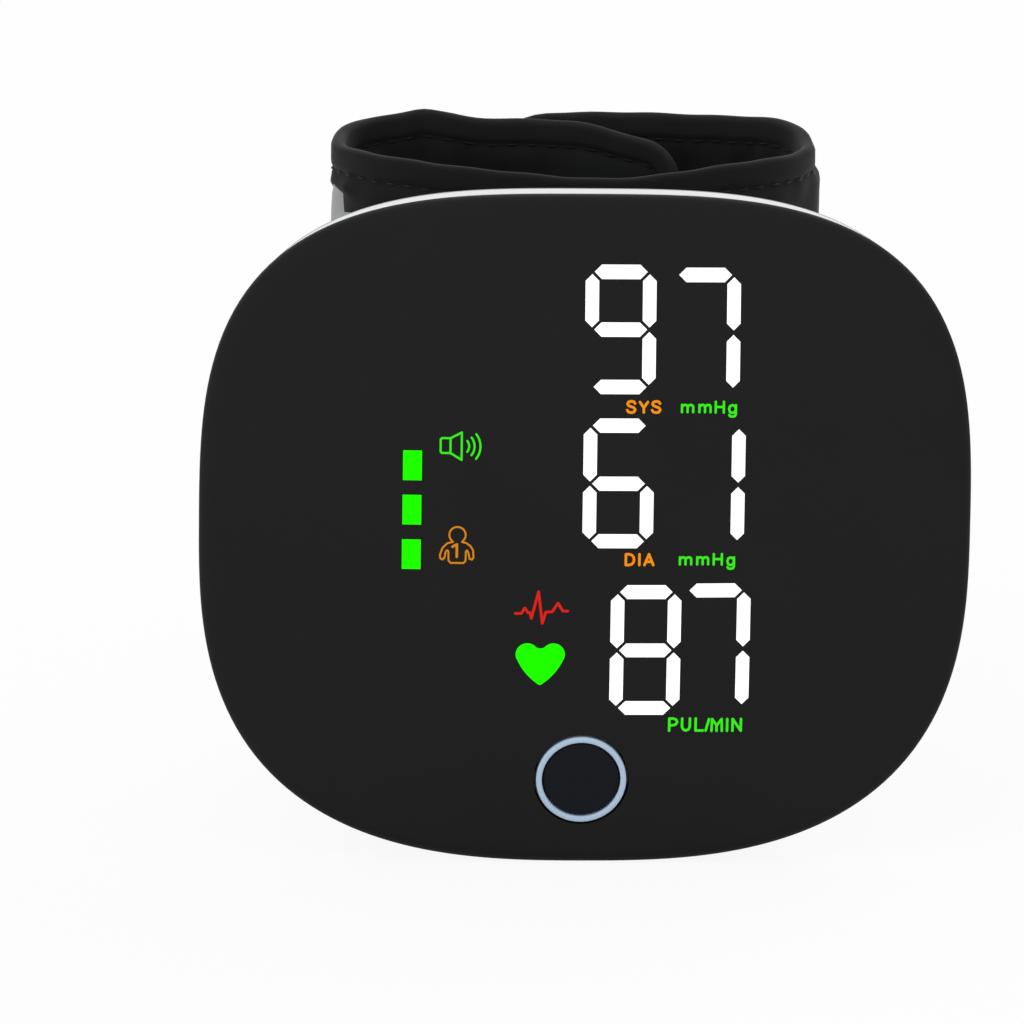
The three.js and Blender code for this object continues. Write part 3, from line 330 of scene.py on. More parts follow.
def new_finish(name, coordinates="Object", **constants):
    """A material, its Principled shader with plain values set, and a wire of the surface's coordinates."""
    material = bpy.data.materials.new(name)
    material.use_nodes = True
    shader = material.node_tree.nodes["Principled BSDF"]
    for socket, value in constants.items():
        shader.inputs[socket.replace("_", " ")].default_value = value
    return material, shader, Wire(material.node_tree).node("ShaderNodeTexCoord", output=coordinates)


def noise(place, scale, detail):
    return place.node("ShaderNodeTexNoise", inputs={"Vector": place, "Scale": scale, "Detail": detail})


def tint(shader, factor, colour, darker, lighter, socket="Base Color"):
    """Colours the surface between two shares of a colour, by a factor that changes over it."""
    first, second = [[min(1.0, channel * share) for channel in colour] for share in (darker, lighter)]
    ends = {0: factor, 6: (*first, 1), 7: (*second, 1)}
    factor.node("ShaderNodeMix", {"data_type": "RGBA"}, ends, output=2).into(shader.inputs[socket])


def dent(shader, height, strength, depth):
    """Roughens the surface by a height that changes over it, its depth in millimetres."""
    inputs = {"Strength": strength, "Distance": depth * MM, "Height": height}
    height.node("ShaderNodeBump", inputs=inputs).into(shader.inputs["Normal"])


def moulded_plastic(name, colour, roughness, grain_size, grain_depth, specular=0.5, cloud_share=0.06):
    """Injection-moulded plastic: a fine spark-eroded grain, and faint clouds in colour and gloss."""
    material, shader, place = new_finish(name, Specular_IOR_Level=specular)
    cloud = noise(place, 70.0, 3.0)
    grain = noise(place, 1 / (grain_size * MM), 2.0)
    tint(shader, cloud, colour, 1 - cloud_share, 1 + cloud_share)
    (roughness - 0.06 + cloud * 0.08 + grain * 0.04).into(shader.inputs["Roughness"])
    dent(shader, grain, 0.6, grain_depth)
    return material


BUTTON_SIDE = -0.2
BUTTON_MIDDLE = -27.85
BUTTON_RADIUS = 5.05
CLEARANCE = 0.3
HOLE_REACH = 4
button_share = -BUTTON_MIDDLE / (HALF_HEIGHT - EDGE_INSET)
button_depth = dome_depth(button_share)
button_tilt = math.atan(2 * DOME_RISE * button_share / (HALF_HEIGHT - EDGE_INSET))
button_place = (BUTTON_SIDE, button_depth, BUTTON_MIDDLE)

panel_rings = []
for share in np.linspace(DOME_FLAT, 1, DOME_RINGS):
    panel_rings.append(face_ring(dome_depth(share), EDGE_INSET, share))
for turn in np.radians(np.linspace(0, 90, EDGE_RINGS)[1:]):
    panel_rings.append(face_ring(
        DOME_RISE + EDGE_DEPTH * (1 - math.cos(turn)), EDGE_INSET * (1 - math.sin(turn))))
panel_rings += [
    face_ring(PANEL_BACK - PANEL_BREAK, 0), face_ring(PANEL_BACK, PANEL_BREAK),
    face_ring(PANEL_BACK, PANEL_WALL), face_ring(DOME_RISE + EDGE_DEPTH, PANEL_WALL),
]
for share in UNDERSIDE_SHARES:
    panel_rings.append(face_ring(dome_depth(share) + PANEL_WALL, EDGE_INSET, share))
front_panel = loft("front_panel_shell", panel_rings)
carve(front_panel, rod(
    "button_hole", BUTTON_RADIUS + CLEARANCE, -HOLE_REACH, HOLE_REACH, button_tilt, button_place))
shade(front_panel)
front_panel.data.materials.append(
    moulded_plastic("black_acrylic", (0.0174, 0.0176, 0.0175), 0.5, 0.25, 0.002, specular=0.015))
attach(front_panel, "case")
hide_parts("front_panel")

# Front housing: the white moulding whose rim shows behind the panel, with a deck for the display,
# bosses for the case screws and posts for the board, all one piece of satin ABS.
RIM_FRONT = 5.65
RIM_BACK = 8.45
RIM_WALL = 1.8
RIM_ROUND = 0.15
RIM_HALF_WIDTH = 42.1
DECK_FRONT = 6.25
DECK_BACK = 7.45
WINDOW = (-21.3, 19.8, -25.3, 32.3)
SWITCH_HOLE = 3.48
CASE_SCREWS = [(x, z) for x in (-24.2, 24.2) for z in (-20, 20)]
BOARD_SCREWS = [(-14, -28), (14, -28)]
SCREW_HOLE = 1.3
BOSS_RADIUS = 2.4
BOSS_FRONT = 6.85
BOSS_END = 10.5
BOARD_FRONT = 8.5
BOSS_SIDES = 40
HOLE_SIDES = 32
BLOCK_FACES = [(0, 1, 3, 2), (4, 6, 7, 5), (0, 4, 5, 1), (2, 3, 7, 6), (0, 2, 6, 4), (1, 5, 7, 3)]


def block(name, x0, x1, y0, y1, z0, z1):
    """A square-edged tool between two corners, for windows and slots."""
    return make_piece(name, [(x, y, z) for y in (y0, y1) for z in (z0, z1) for x in (x0, x1)], BLOCK_FACES)


def rim_ring(y, inset):
    """The white case's outline, a little narrower than the panel's."""
    return case_ring(y, RIM_HALF_WIDTH - inset, HALF_HEIGHT - inset)


rim_rings = [
    rim_ring(DECK_FRONT, RIM_WALL), rim_ring(RIM_FRONT, RIM_WALL), rim_ring(RIM_FRONT, RIM_ROUND),
    rim_ring(RIM_FRONT + RIM_ROUND, 0), rim_ring(RIM_BACK - RIM_ROUND, 0), rim_ring(RIM_BACK, RIM_ROUND),
    rim_ring(RIM_BACK, RIM_WALL), rim_ring(DECK_BACK, RIM_WALL),
]
front_housing = loft("front_housing_rim", rim_rings)
boss_ends = [(x, z, BOSS_END) for x, z in CASE_SCREWS] + [(x, z, BOARD_FRONT) for x, z in BOARD_SCREWS]
for x, z, end in boss_ends:
    place = (x, 0, z)
    carve(front_housing, rod("boss", BOSS_RADIUS, BOSS_FRONT, end, place=place, sides=BOSS_SIDES), "UNION")
    carve(front_housing, rod("boss_hole", SCREW_HOLE, BOSS_FRONT, end + 1, place=place, sides=HOLE_SIDES))
carve(front_housing, block("window", WINDOW[0], WINDOW[1], RIM_FRONT, RIM_BACK, WINDOW[2], WINDOW[3]))
switch_place = (BUTTON_SIDE, 0, BUTTON_MIDDLE)
carve(front_housing, rod("switch_hole", SWITCH_HOLE, RIM_FRONT, RIM_BACK, place=switch_place))
shade(front_housing)
case_white = moulded_plastic("satin_white", (0.81, 0.82, 0.83), 0.42, 0.22, 0.006)
front_housing.data.materials.append(case_white)
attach(front_housing, "case")
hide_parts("front_housing")

# Rear housing: the back shell, its white plastic painted grey as painted shade; it narrows from the rim to
# the block that carries the cuff.
# One moulding, screwed to the bosses of the front; its back is hollowed to the loop of the cuff.
REAR_FRONT = 8.6
TAPER_DEPTH = 16.0
BLOCK_HALF_WIDTH = 28.0
BLOCK_HALF_HEIGHT = 29.8
HORN_START = 31.0
HORN_SWEEP = 27.0
HORN_LEVEL = 35.0
HORN_END = 41.0
EAR_START = 39.3
EAR_FULL = 40.0
EAR_RISE = 5.0
EAR_ROUND = 0.8
EAR_SLOPE = [(-29.5, 33.9), (-24.9, 29.95), (0.0, 29.95), (0.0, 45.0), (-29.5, 45.0)]
HORN_ROUND = 3.5
RIGHT_HORN_TOP = 25.8
HORN_SKIN = 0.05
HOUSING_WALL = 2.0
CAVITY_END = 29.0
SADDLE_GAP = 1.1
LOOP_HALF_DEPTH = 18.75
LOOP_HALF_WIDTH = 26.9
LOOP_CENTRE = 45.25
LOOP_FRONT = 26.5
LOOP_FRONT_EXPONENT = 1.9
LOOP_BACK_EXPONENT = 3.0
POST_RADIUS = 3.4
POST_FRONT = 10.8
SCREW_SEAT = 14.0
HEAD_HOLE = 2.3
USB_MIDDLE = 11.85
USB_INSIDE = 26.9
USB_RADIUS = 1.9
USB_SPAN = 2.9
NOZZLE = (0.0, 0.0, 4.0)
NOZZLE_HOLE = 2.5
CLIP_SLOTS = [(x, z) for x in (-10, 10) for z in (-18, 18)]
CLIP_HALF = (1.8, 0.9)
CLIP_FRONT = 23.3
SOUND_SLOTS = [9.4, 11.2, 13.0, 14.8, 16.6]
SOUND_HALF = 0.45
SOUND_DEPTH = (11.6, 14.6)
SOUND_HEIGHT = (-45, -23)
BEYOND = 60
SIDE = 50


def soft_step(low, high, value):
    """0 below low, 1 above high, and a smooth rise between them."""
    share = np.clip((value - low) / (high - low), 0, 1)
    return share * share * (3 - 2 * share)


def taper(share, rim, block_size):
    """A half size of the shell at a share of the way from the rim to the block."""
    return block_size + (rim - block_size) * (1 - share) ** 2


def rear_ring(share, inset):
    """The shell's outline at a share of the way from the rim to the block."""
    half_width = taper(share, RIM_HALF_WIDTH, BLOCK_HALF_WIDTH) - inset
    half_height = taper(share, HALF_HEIGHT, BLOCK_HALF_HEIGHT) - inset
    return case_ring(REAR_FRONT + TAPER_DEPTH * share, half_width, half_height, share ** 2)


def loop_radius(turn, outset):
    """Distance from the middle of the cuff's loop to its outer surface; 0 degrees is at the case."""
    exponent = np.where(np.cos(turn) >= 0, LOOP_FRONT_EXPONENT, LOOP_BACK_EXPONENT)
    return super_radius(turn, LOOP_HALF_DEPTH + outset, LOOP_HALF_WIDTH + outset, exponent)


def loop_bar(outset, sides=180):
    """A bar along z in the shape of the cuff's loop, which hollows the saddle."""
    turn = np.arange(sides) * 2 * math.pi / sides
    radius = loop_radius(turn, outset)
    x, y = radius * np.sin(turn), LOOP_CENTRE - radius * np.cos(turn)
    return loft("loop_bar", [np.column_stack([x, y, np.full(sides, z)]) for z in (-BEYOND, BEYOND)])


def bar_along_x(name, outline, x0, x1):
    """A bar along x from an outline of (y, z) corners."""
    count = len(outline)
    points = [(x, y, z) for x in (x0, x1) for y, z in outline]
    faces = [list(range(count)), list(range(2 * count - 1, count - 1, -1))]
    for i in range(count):
        j = (i + 1) % count
        faces.append((j, i, count + i, count + j))
    return make_piece(name, points, faces)


def arc(middle, radius, start, end, steps=10):
    """Points on a circle from one angle in degrees to another."""
    angles = np.radians(np.linspace(start, end, steps))
    return [(middle[0] + radius * math.cos(a), middle[1] + radius * math.sin(a)) for a in angles]


def corner_cut(name, y, z, end, radius):
    """What a rounded corner of the horns leaves away, at the back and at the top (end 1) or bottom (-1)."""
    outline = [(y - radius, z + 2 * end), (y + 2, z + 2 * end), (y + 2, z - end * radius)]
    outline += arc((y - radius, z - end * radius), radius, 0, 90 * end)
    return bar_along_x(name, outline if end > 0 else outline[::-1], -SIDE, SIDE)


def port_outline(inset, steps):
    """The slot of the charging socket in (y, z), with its two round ends."""
    upper = arc((USB_MIDDLE, USB_SPAN), USB_RADIUS - inset, 0, 180, steps)
    lower = arc((USB_MIDDLE, -USB_SPAN), USB_RADIUS - inset, 180, 360, steps)
    return upper + lower


outer_rings = [case_ring(REAR_FRONT, RIM_HALF_WIDTH - RIM_ROUND, HALF_HEIGHT - RIM_ROUND)]
outer_rings += [rear_ring(share, 0) for share in np.linspace(0, 1, 25)]
outer_rings[1][:, 1] += RIM_ROUND
for y in [HORN_START, *np.linspace(EAR_START, EAR_FULL, 9), HORN_END]:
    ear = EAR_RISE * float(soft_step(EAR_START, EAR_FULL, y))
    outer_rings.append(case_ring(y, BLOCK_HALF_WIDTH, BLOCK_HALF_HEIGHT + ear, 1.0, BLOCK_HALF_HEIGHT))
rear_housing = loft("rear_housing_shell", outer_rings)
mouth = rear_ring(0, HOUSING_WALL)
mouth[:, 1] -= 1
cavity_rings = [mouth, *[rear_ring(share, HOUSING_WALL) for share in np.linspace(0, 1, 13)]]
cavity_rings.append(case_ring(
    CAVITY_END, BLOCK_HALF_WIDTH - HOUSING_WALL, BLOCK_HALF_HEIGHT - HOUSING_WALL, 1.0))
cavity = carve(loft("cavity", cavity_rings), loop_bar(SADDLE_GAP + HOUSING_WALL))
carve(rear_housing, cavity)
for x, z in CASE_SCREWS:
    post = rod("post", POST_RADIUS, POST_FRONT, HORN_START, place=(x, 0, z), sides=BOSS_SIDES)
    carve(rear_housing, post, "UNION")
carve(rear_housing, loop_bar(SADDLE_GAP))
for x, z in CASE_SCREWS:
    for radius, front in ((SCREW_HOLE, POST_FRONT - 1), (HEAD_HOLE, SCREW_SEAT)):
        carve(rear_housing, rod("post_hole", radius, front, HORN_END, place=(x, 0, z), sides=HOLE_SIDES))
horn_top = BLOCK_HALF_HEIGHT + HORN_SKIN
horn_line = []
for y in np.linspace(HORN_SWEEP, HORN_LEVEL, 15):
    fall = (horn_top - RIGHT_HORN_TOP) * float(soft_step(HORN_SWEEP, HORN_LEVEL, y))
    horn_line.append((y, horn_top - fall))
horn_line += arc((HORN_END - HORN_ROUND, RIGHT_HORN_TOP - HORN_ROUND), HORN_ROUND, 90, 0, 8)
horn_line += [(HORN_END + 1, RIGHT_HORN_TOP - HORN_ROUND), (HORN_END + 1, BEYOND), (HORN_SWEEP, BEYOND)]
carve(rear_housing, bar_along_x("right_horn", horn_line, 0, SIDE))
slope_ends = [np.array([(x, y, z) for x, z in EAR_SLOPE]) for y in (HORN_START, HORN_END + 1)]
carve(rear_housing, loft("ear_slope", slope_ends))
carve(rear_housing, corner_cut("ear_round", HORN_END, BLOCK_HALF_HEIGHT + EAR_RISE, 1, EAR_ROUND))
carve(rear_housing, corner_cut("horn_round", HORN_END, -BLOCK_HALF_HEIGHT, -1, HORN_ROUND))
carve(rear_housing, bar_along_x("socket_slot", port_outline(0, 17)[::-1], USB_INSIDE, SIDE))
nozzle_hole = rod("nozzle_hole", NOZZLE_HOLE, CLIP_FRONT - 1, LOOP_FRONT, place=NOZZLE, sides=BOSS_SIDES)
carve(rear_housing, nozzle_hole)
for x, z in CLIP_SLOTS:
    wide, tall = CLIP_HALF
    carve(rear_housing, block("clip_slot", x - wide, x + wide, CLIP_FRONT, LOOP_CENTRE, z - tall, z + tall))
for x in SOUND_SLOTS:
    carve(rear_housing, block("sound_slot", x - SOUND_HALF, x + SOUND_HALF, *SOUND_DEPTH, *SOUND_HEIGHT))
shade(rear_housing)
# Painted shade: the shell's white case plastic is darkened to this grey to stand for the shade that falls on
# it.
rear_housing.data.materials.append(moulded_plastic("white_case_painted_shade_grey", (0.40, 0.405, 0.41), 0.45, 0.22, 0.006))
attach(rear_housing, "case")
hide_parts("rear_housing")

# Port insert: the black sleeve in the slot of the charging socket, pressed in from inside.
# Moulded in one with a mouth as wide as the socket's; its outer end follows the slope of the case.
PORT_INSIDE = 34.35
PORT_SUNK = 0.25
PORT_SHORTEST = 0.1
PORT_GAP = 0.03
PORT_MOUTH = 0.62
port_rings = []
for inset, outer_end in ((PORT_GAP, False), (PORT_GAP, True), (PORT_MOUTH, True), (PORT_MOUTH, False)):
    ring = []
    for y, z in port_outline(inset, 25):
        wall = taper((y - REAR_FRONT) / TAPER_DEPTH, RIM_HALF_WIDTH, BLOCK_HALF_WIDTH)
        x = max(wall - PORT_SUNK, PORT_INSIDE + PORT_SHORTEST) if outer_end else PORT_INSIDE
        ring.append((x, y, z))
    port_rings.append(np.array(ring))
port_insert = shade(loft("port_insert", port_rings, closed=True))
port_insert.data.materials.append(moulded_plastic("port_black", (0.016, 0.016, 0.017), 0.5, 0.3, 0.006))
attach(port_insert, "case")

# Cuff: two padded halves of black nylon, lined with brushed cloth, each with a turned and stitched hem.
# They meet behind the case, where the plate holds them, and wrap the wrist: the right one outside the left.
# Distances s run along the loop from the middle behind the case, and turns are degrees round the loop.
CUFF_LOW = -38.0
CUFF_HIGH = 36.5
CUFF_MIDDLE = 1.2
RIGHT_END_TURN = 212
RIGHT_TIP_RADIUS = 10.0
LEFT_END_TURN = 233.5
LEFT_TIP_RADIUS = 4.5
TUCK = 4.4
TUCK_TURNS = (114, 145)
LIFT = 3.0
LIFT_TURN = 165
BEND_TURN = 90
BEND_WIDTH = 26
HEM_HALF = 0.85
HEM_ROLL = 0.6
HEM_DEPTH = 3.0
HEM_SLOPE = 1.8
HEM_SPRING = 1.35
HEM_SLACK = 0.35
HEM_SLACK_EDGES = (3.0, 4.0)
HEM_FADE = {1: (2.4, 5.5), -1: (4.2, 7.2)}
RIGHT_BULGE = (1.5, 100, 20)
RIGHT_BULGE_HEIGHTS = (20, 27)
RIGHT_SWELL = (0.5, 112, 22)
LEFT_SAG = (-0.35, 88, 18)
LONG_WAVE = (0.22, 0.31, 1.3)
SHORT_WAVE = (0.13, 0.73)
WAVE_SLANT = 0.05
WAVE_AT_HEM = 0.4
FREE_TURNS = (62, 80)
LAP_TURNS = (138, 150)
LAP_HOLD = 0.85
PUCKER_DEPTH = 0.16
PUCKER_LENGTH = 5.3
PUCKER_SLANT = 0.11
PUCKER_ROW = (4.4, 1.7)
FOLD_TURN = 131.4
FOLD_DEPTH = 1.3
FOLD_AHEAD = 0.8
FOLD_WIDTH = 1.7
FOLD_SLANT = 0.06
FOLD_HEIGHTS = (2, 30)
CROWN_WIDTH = 6
GROOVE_DEPTH = 0.42
GROOVE_WIDTH = 0.42
STITCH_PITCH = 2.4
STITCH_PULL = 0.2
OUTER_ROOM = 0.5
OUTER_ROOM_TURNS = (66, 92)
LEFT_ROOM_SHARE = 0.3
LEFT_ROOM_TURNS = (118, 140)
INNER_ROOM = 0.95
INNER_ROOM_TURNS = (150, 166)
PUFF_RANGE = (-0.2, 1)
RISE_START = 20
LONG_EDGE_WAVE = (0.08, 0.27, 2.1)
SHORT_EDGE_WAVE = (0.05, 0.81, 0.0)
MIDDLE_DIP = (0.95, 6, 32)
FOLD_SHOULDER = (0.75, -1, 15)
FOLD_PEAK = (1.0, 0, 3.0)
LEFT_END_FALL = 2.2
LEFT_END_FALL_TURNS = (178, 240)
RIGHT_STEP = 0.45
RIGHT_STEP_TURNS = (95, 112)
RIGHT_PEAK = (0.5, 112, 20)
PATH_STEPS = 4000
TANGENT_REACH = 0.2
CLOTH_SCALE = 0.01


def bell(value, middle, width):
    """1 at the middle, falling off smoothly on both sides."""
    return np.exp(-((value - middle) / width) ** 2)


def hump(value, height, middle, width):
    """A bell of the given height."""
    return height * bell(value, middle, width)


def ripple(value, height, pace, start):
    """A sine wave of the given height, its pace in radians for each millimetre."""
    return height * np.sin(pace * value + start)


class CuffHalf:
    """One half of the cuff as a band along the loop: side is 1 for the right half and -1 for the left one."""

    def __init__(self, side, end, tip_radius):
        self.side = side
        self.tip_radius = tip_radius
        self.settled = {}
        self.turn = np.linspace(0, end, PATH_STEPS)
        outset = np.zeros_like(self.turn)
        if side < 0:
            lift = np.maximum(0, (self.turn - LIFT_TURN) / (end - LIFT_TURN)) ** 2
            outset = -TUCK * soft_step(*TUCK_TURNS, self.turn) - LIFT * lift
        angle = np.radians(self.turn)
        radius = loop_radius(angle, outset)
        self.path = np.column_stack([side * radius * np.sin(angle), LOOP_CENTRE - radius * np.cos(angle)])
        steps = np.linalg.norm(np.diff(self.path, axis=0), axis=1)
        self.distance = np.concatenate([[0], np.cumsum(steps)])
        self.length = self.distance[-1]
        self.fold_place = float(np.interp(FOLD_TURN, self.turn, self.distance))

    def on_path(self, s):
        return np.column_stack([np.interp(s, self.distance, self.path[:, i]) for i in (0, 1)])

    def at(self, s):
        """Points of the path, the directions towards the wrist and the turns at distances s."""
        tangent = self.on_path(s + TANGENT_REACH) - self.on_path(s - TANGENT_REACH)
        tangent /= np.linalg.norm(tangent, axis=1)[:, None]
        inward = self.side * np.column_stack([-tangent[:, 1], tangent[:, 0]])
        return self.on_path(s), inward, np.interp(s, self.distance, self.turn)

    def outward(self, s, face):
        """The directions straight off one face at distances s."""
        return np.column_stack([-face * self.at(s)[1], np.zeros(len(s))])

    def edge(self, s, z):
        """Distance from the half's outline, whose two corners at the tip are round."""
        past = s - (self.length - self.tip_radius)
        over = np.maximum(z - (CUFF_HIGH - self.tip_radius), CUFF_LOW + self.tip_radius - z)
        corner = self.tip_radius - np.hypot(np.maximum(past, 0), np.maximum(over, 0))
        plain = np.minimum(self.length - s, np.minimum(CUFF_HIGH - z, z - CUFF_LOW))
        return np.maximum(0, np.where((past > 0) & (over > 0), corner, plain))

    def flare(self, s, z, edge, turn):
        """How far the band stands out from the loop: its hems spring out at the bends, and its body sags."""
        bend = bell(turn, BEND_TURN, BEND_WIDTH)
        body = soft_step(*HEM_FADE[self.side], edge)
        fold = 0.0
        if self.side > 0:
            hem_out = HEM_SPRING * bend
            bulge = hump(turn, *RIGHT_BULGE) * soft_step(*RIGHT_BULGE_HEIGHTS, np.abs(z))
            body_out = bulge + hump(turn, *RIGHT_SWELL)
        else:
            hem_out = (HEM_SPRING - HEM_SLACK * soft_step(*HEM_SLACK_EDGES, edge)) * bend
            body_out = hump(turn, *LEFT_SAG)
            crease = bell(s + FOLD_SLANT * (z - CUFF_HIGH), self.fold_place + FOLD_AHEAD, FOLD_WIDTH)
            fold = -FOLD_DEPTH * crease * soft_step(*FOLD_HEIGHTS, z)
        along = s * self.side
        wave = ripple(along, *LONG_WAVE) + ripple(along, *SHORT_WAVE, WAVE_SLANT * z)
        wave = wave * (WAVE_AT_HEM + (1 - WAVE_AT_HEM) * body)
        pucker_pace = 2 * math.pi / PUCKER_LENGTH
        pucker = ripple(s, PUCKER_DEPTH, pucker_pace, PUCKER_SLANT * z) * bell(edge, *PUCKER_ROW)
        free = soft_step(*FREE_TURNS, turn) * (1 - LAP_HOLD * soft_step(*LAP_TURNS, turn))
        return (1 - body) * hem_out + body * body_out + free * (wave + pucker) + fold

    def half_thickness(self, s, z, edge, turn, face):
        """Half the band's thickness on one face: 1 outside, -1 towards the wrist."""
        rolled = HEM_HALF * np.sqrt(1 - (1 - np.minimum(edge, HEM_ROLL) / HEM_ROLL) ** 2)
        body = soft_step(HEM_DEPTH, HEM_DEPTH + HEM_SLOPE, edge)
        pull = 1 - STITCH_PULL + STITCH_PULL * np.cos(2 * math.pi * s / STITCH_PITCH)
        groove = GROOVE_DEPTH * bell(edge, HEM_DEPTH, GROOVE_WIDTH) * pull
        crown = soft_step(HEM_DEPTH, HEM_DEPTH + CROWN_WIDTH, edge)
        return rolled + (CUFF_MIDDLE - HEM_HALF) * body - groove + crown * self.puff(s, z, turn, face)

    def puff(self, s, z, turn, face):
        """How far the padded cloth stands off between its seams: what settled, as far as there is room."""
        if face not in self.settled:
            return np.zeros_like(s)
        if face > 0:
            room = OUTER_ROOM * soft_step(*OUTER_ROOM_TURNS, turn)
            if self.side < 0:
                room = room * LEFT_ROOM_SHARE * (1 - soft_step(*LEFT_ROOM_TURNS, turn))
        else:
            room = np.full_like(s, INNER_ROOM)
            if self.side > 0:
                room = room * (1 - soft_step(*INNER_ROOM_TURNS, turn))
        stations, rows, stand = self.settled[face]
        i = np.clip((s - stations[0]) / (stations[1] - stations[0]), 0, len(stations) - 1.001)
        j = np.clip((z - rows[0]) / (rows[1] - rows[0]), 0, len(rows) - 1.001)
        i0, j0 = i.astype(int), j.astype(int)
        di, dj = i - i0, j - j0
        near = stand[i0, j0] * (1 - dj) + stand[i0, j0 + 1] * dj
        far = stand[i0 + 1, j0] * (1 - dj) + stand[i0 + 1, j0 + 1] * dj
        return np.clip(near * (1 - di) + far * di, *PUFF_RANGE) * room

    def surface(self, s, z, face):
        """Points on one face of the half at distance s and height z, where the top edge rises and falls."""
        edge = self.edge(s, z)
        point, inward, turn = self.at(s)
        half = self.half_thickness(s, z, edge, turn, face)
        depth = CUFF_MIDDLE - self.flare(s, z, edge, turn) - face * half
        place = point + inward * depth[:, None]
        along = s * self.side
        rise = ripple(along, *LONG_EDGE_WAVE) + ripple(along, *SHORT_EDGE_WAVE)
        rise = rise - hump(turn * self.side, *MIDDLE_DIP)
        if self.side < 0:
            from_fold = s - self.fold_place
            rise = rise + hump(from_fold, *FOLD_SHOULDER) + hump(from_fold, *FOLD_PEAK)
            rise = rise - LEFT_END_FALL * soft_step(*LEFT_END_FALL_TURNS, turn)
        else:
            rise = rise + RIGHT_STEP * soft_step(*RIGHT_STEP_TURNS, turn) + hump(turn, *RIGHT_PEAK)
        return np.column_stack([place, z + soft_step(RISE_START, CUFF_HIGH, z) * rise])


def grid_quads(count, wide, forward):
    """The corners of each cell between stations and rows, turned one way or the other."""
    quads = []
    for i in range(count - 1):
        for j in range(wide - 1):
            quad = (i * wide + j, (i + 1) * wide + j, (i + 1) * wide + j + 1, i * wide + j + 1)
            quads.append(quad if forward else quad[::-1])
    return quads


def second_face(border):
    """Numbers for the corners of a second face, which shares its border with the first one."""
    numbers = np.arange(border.size)
    numbers[~border] = border.size + np.arange((~border).sum())
    return numbers


SETTLE_STEP = 1.7
SETTLE_FRAMES = 20
HELD_TURN = 62
SEAM_WIDTH = 0.2
CLOTH_SETTINGS = {
    "quality": 6, "mass": 0.12, "tension_stiffness": 14, "compression_stiffness": 14, "shear_stiffness": 6,
    "bending_stiffness": 0.25, "shrink_min": -0.05, "use_pressure": True, "uniform_pressure_force": 4.0,
    "vertex_group_mass": "seams",
}


def settle(half, face):
    """The cloth of one face between its seams, blown up by the padding: how far it stands off at rest."""
    stations = np.linspace(0, half.length - HEM_DEPTH, int(half.length / SETTLE_STEP))
    row_count = int((CUFF_HIGH - CUFF_LOW) / SETTLE_STEP)
    rows = np.linspace(CUFF_LOW + HEM_DEPTH, CUFF_HIGH - HEM_DEPTH, row_count)
    count, wide = len(stations), len(rows)
    s, z = np.repeat(stations, wide), np.tile(rows, count)
    flat = half.surface(s, z, face)
    mesh = bpy.data.meshes.new("settling_cloth")
    mesh.from_pydata((flat * CLOTH_SCALE).tolist(), [], grid_quads(count, wide, half.side * face > 0))
    cloth = put_in("settling_cloth", mesh)
    seams = cloth.vertex_groups.new(name="seams")
    held = (half.edge(s, z) <= HEM_DEPTH + SEAM_WIDTH) | (s == 0)
    if face > 0:
        held = held | (half.at(s)[2] < HELD_TURN)
    seams.add(np.flatnonzero(held).tolist(), 1.0, "REPLACE")
    weave = cloth.modifiers.new("weave", "CLOTH")
    for setting, value in CLOTH_SETTINGS.items():
        setattr(weave.settings, setting, value)
    weave.settings.effector_weights.gravity = 0
    weave.point_cache.frame_start = 1
    weave.point_cache.frame_end = SETTLE_FRAMES
    for moment in range(1, SETTLE_FRAMES + 1):
        bpy.context.scene.frame_set(moment)
    settled = cloth.evaluated_get(bpy.context.evaluated_depsgraph_get()).to_mesh()
    moved = np.array([corner.co for corner in settled.vertices]) / CLOTH_SCALE - flat
    bpy.data.objects.remove(cloth)
    bpy.data.meshes.remove(mesh)
    bpy.context.scene.frame_set(1)
    stand = (moved * half.outward(s, face)).sum(axis=1)
    return stations, rows, (stand / np.percentile(stand, 95)).reshape(count, wide)


HEM_ROWS = [
    0, 0.05, 0.17, 0.36, 0.6, 1.0, 1.6, 2.1, 2.45, 2.75, 3.0, 3.25, 3.6, 4.0, 4.6, 5.4, 6.4, 7.6, 9.0, 10.5,
]
STATION_STEP = 0.9
TIP_ROOM = 1.5
TIP_STEPS = [1.1, 0.7, 0.35]
MIDDLE_ROWS = 34


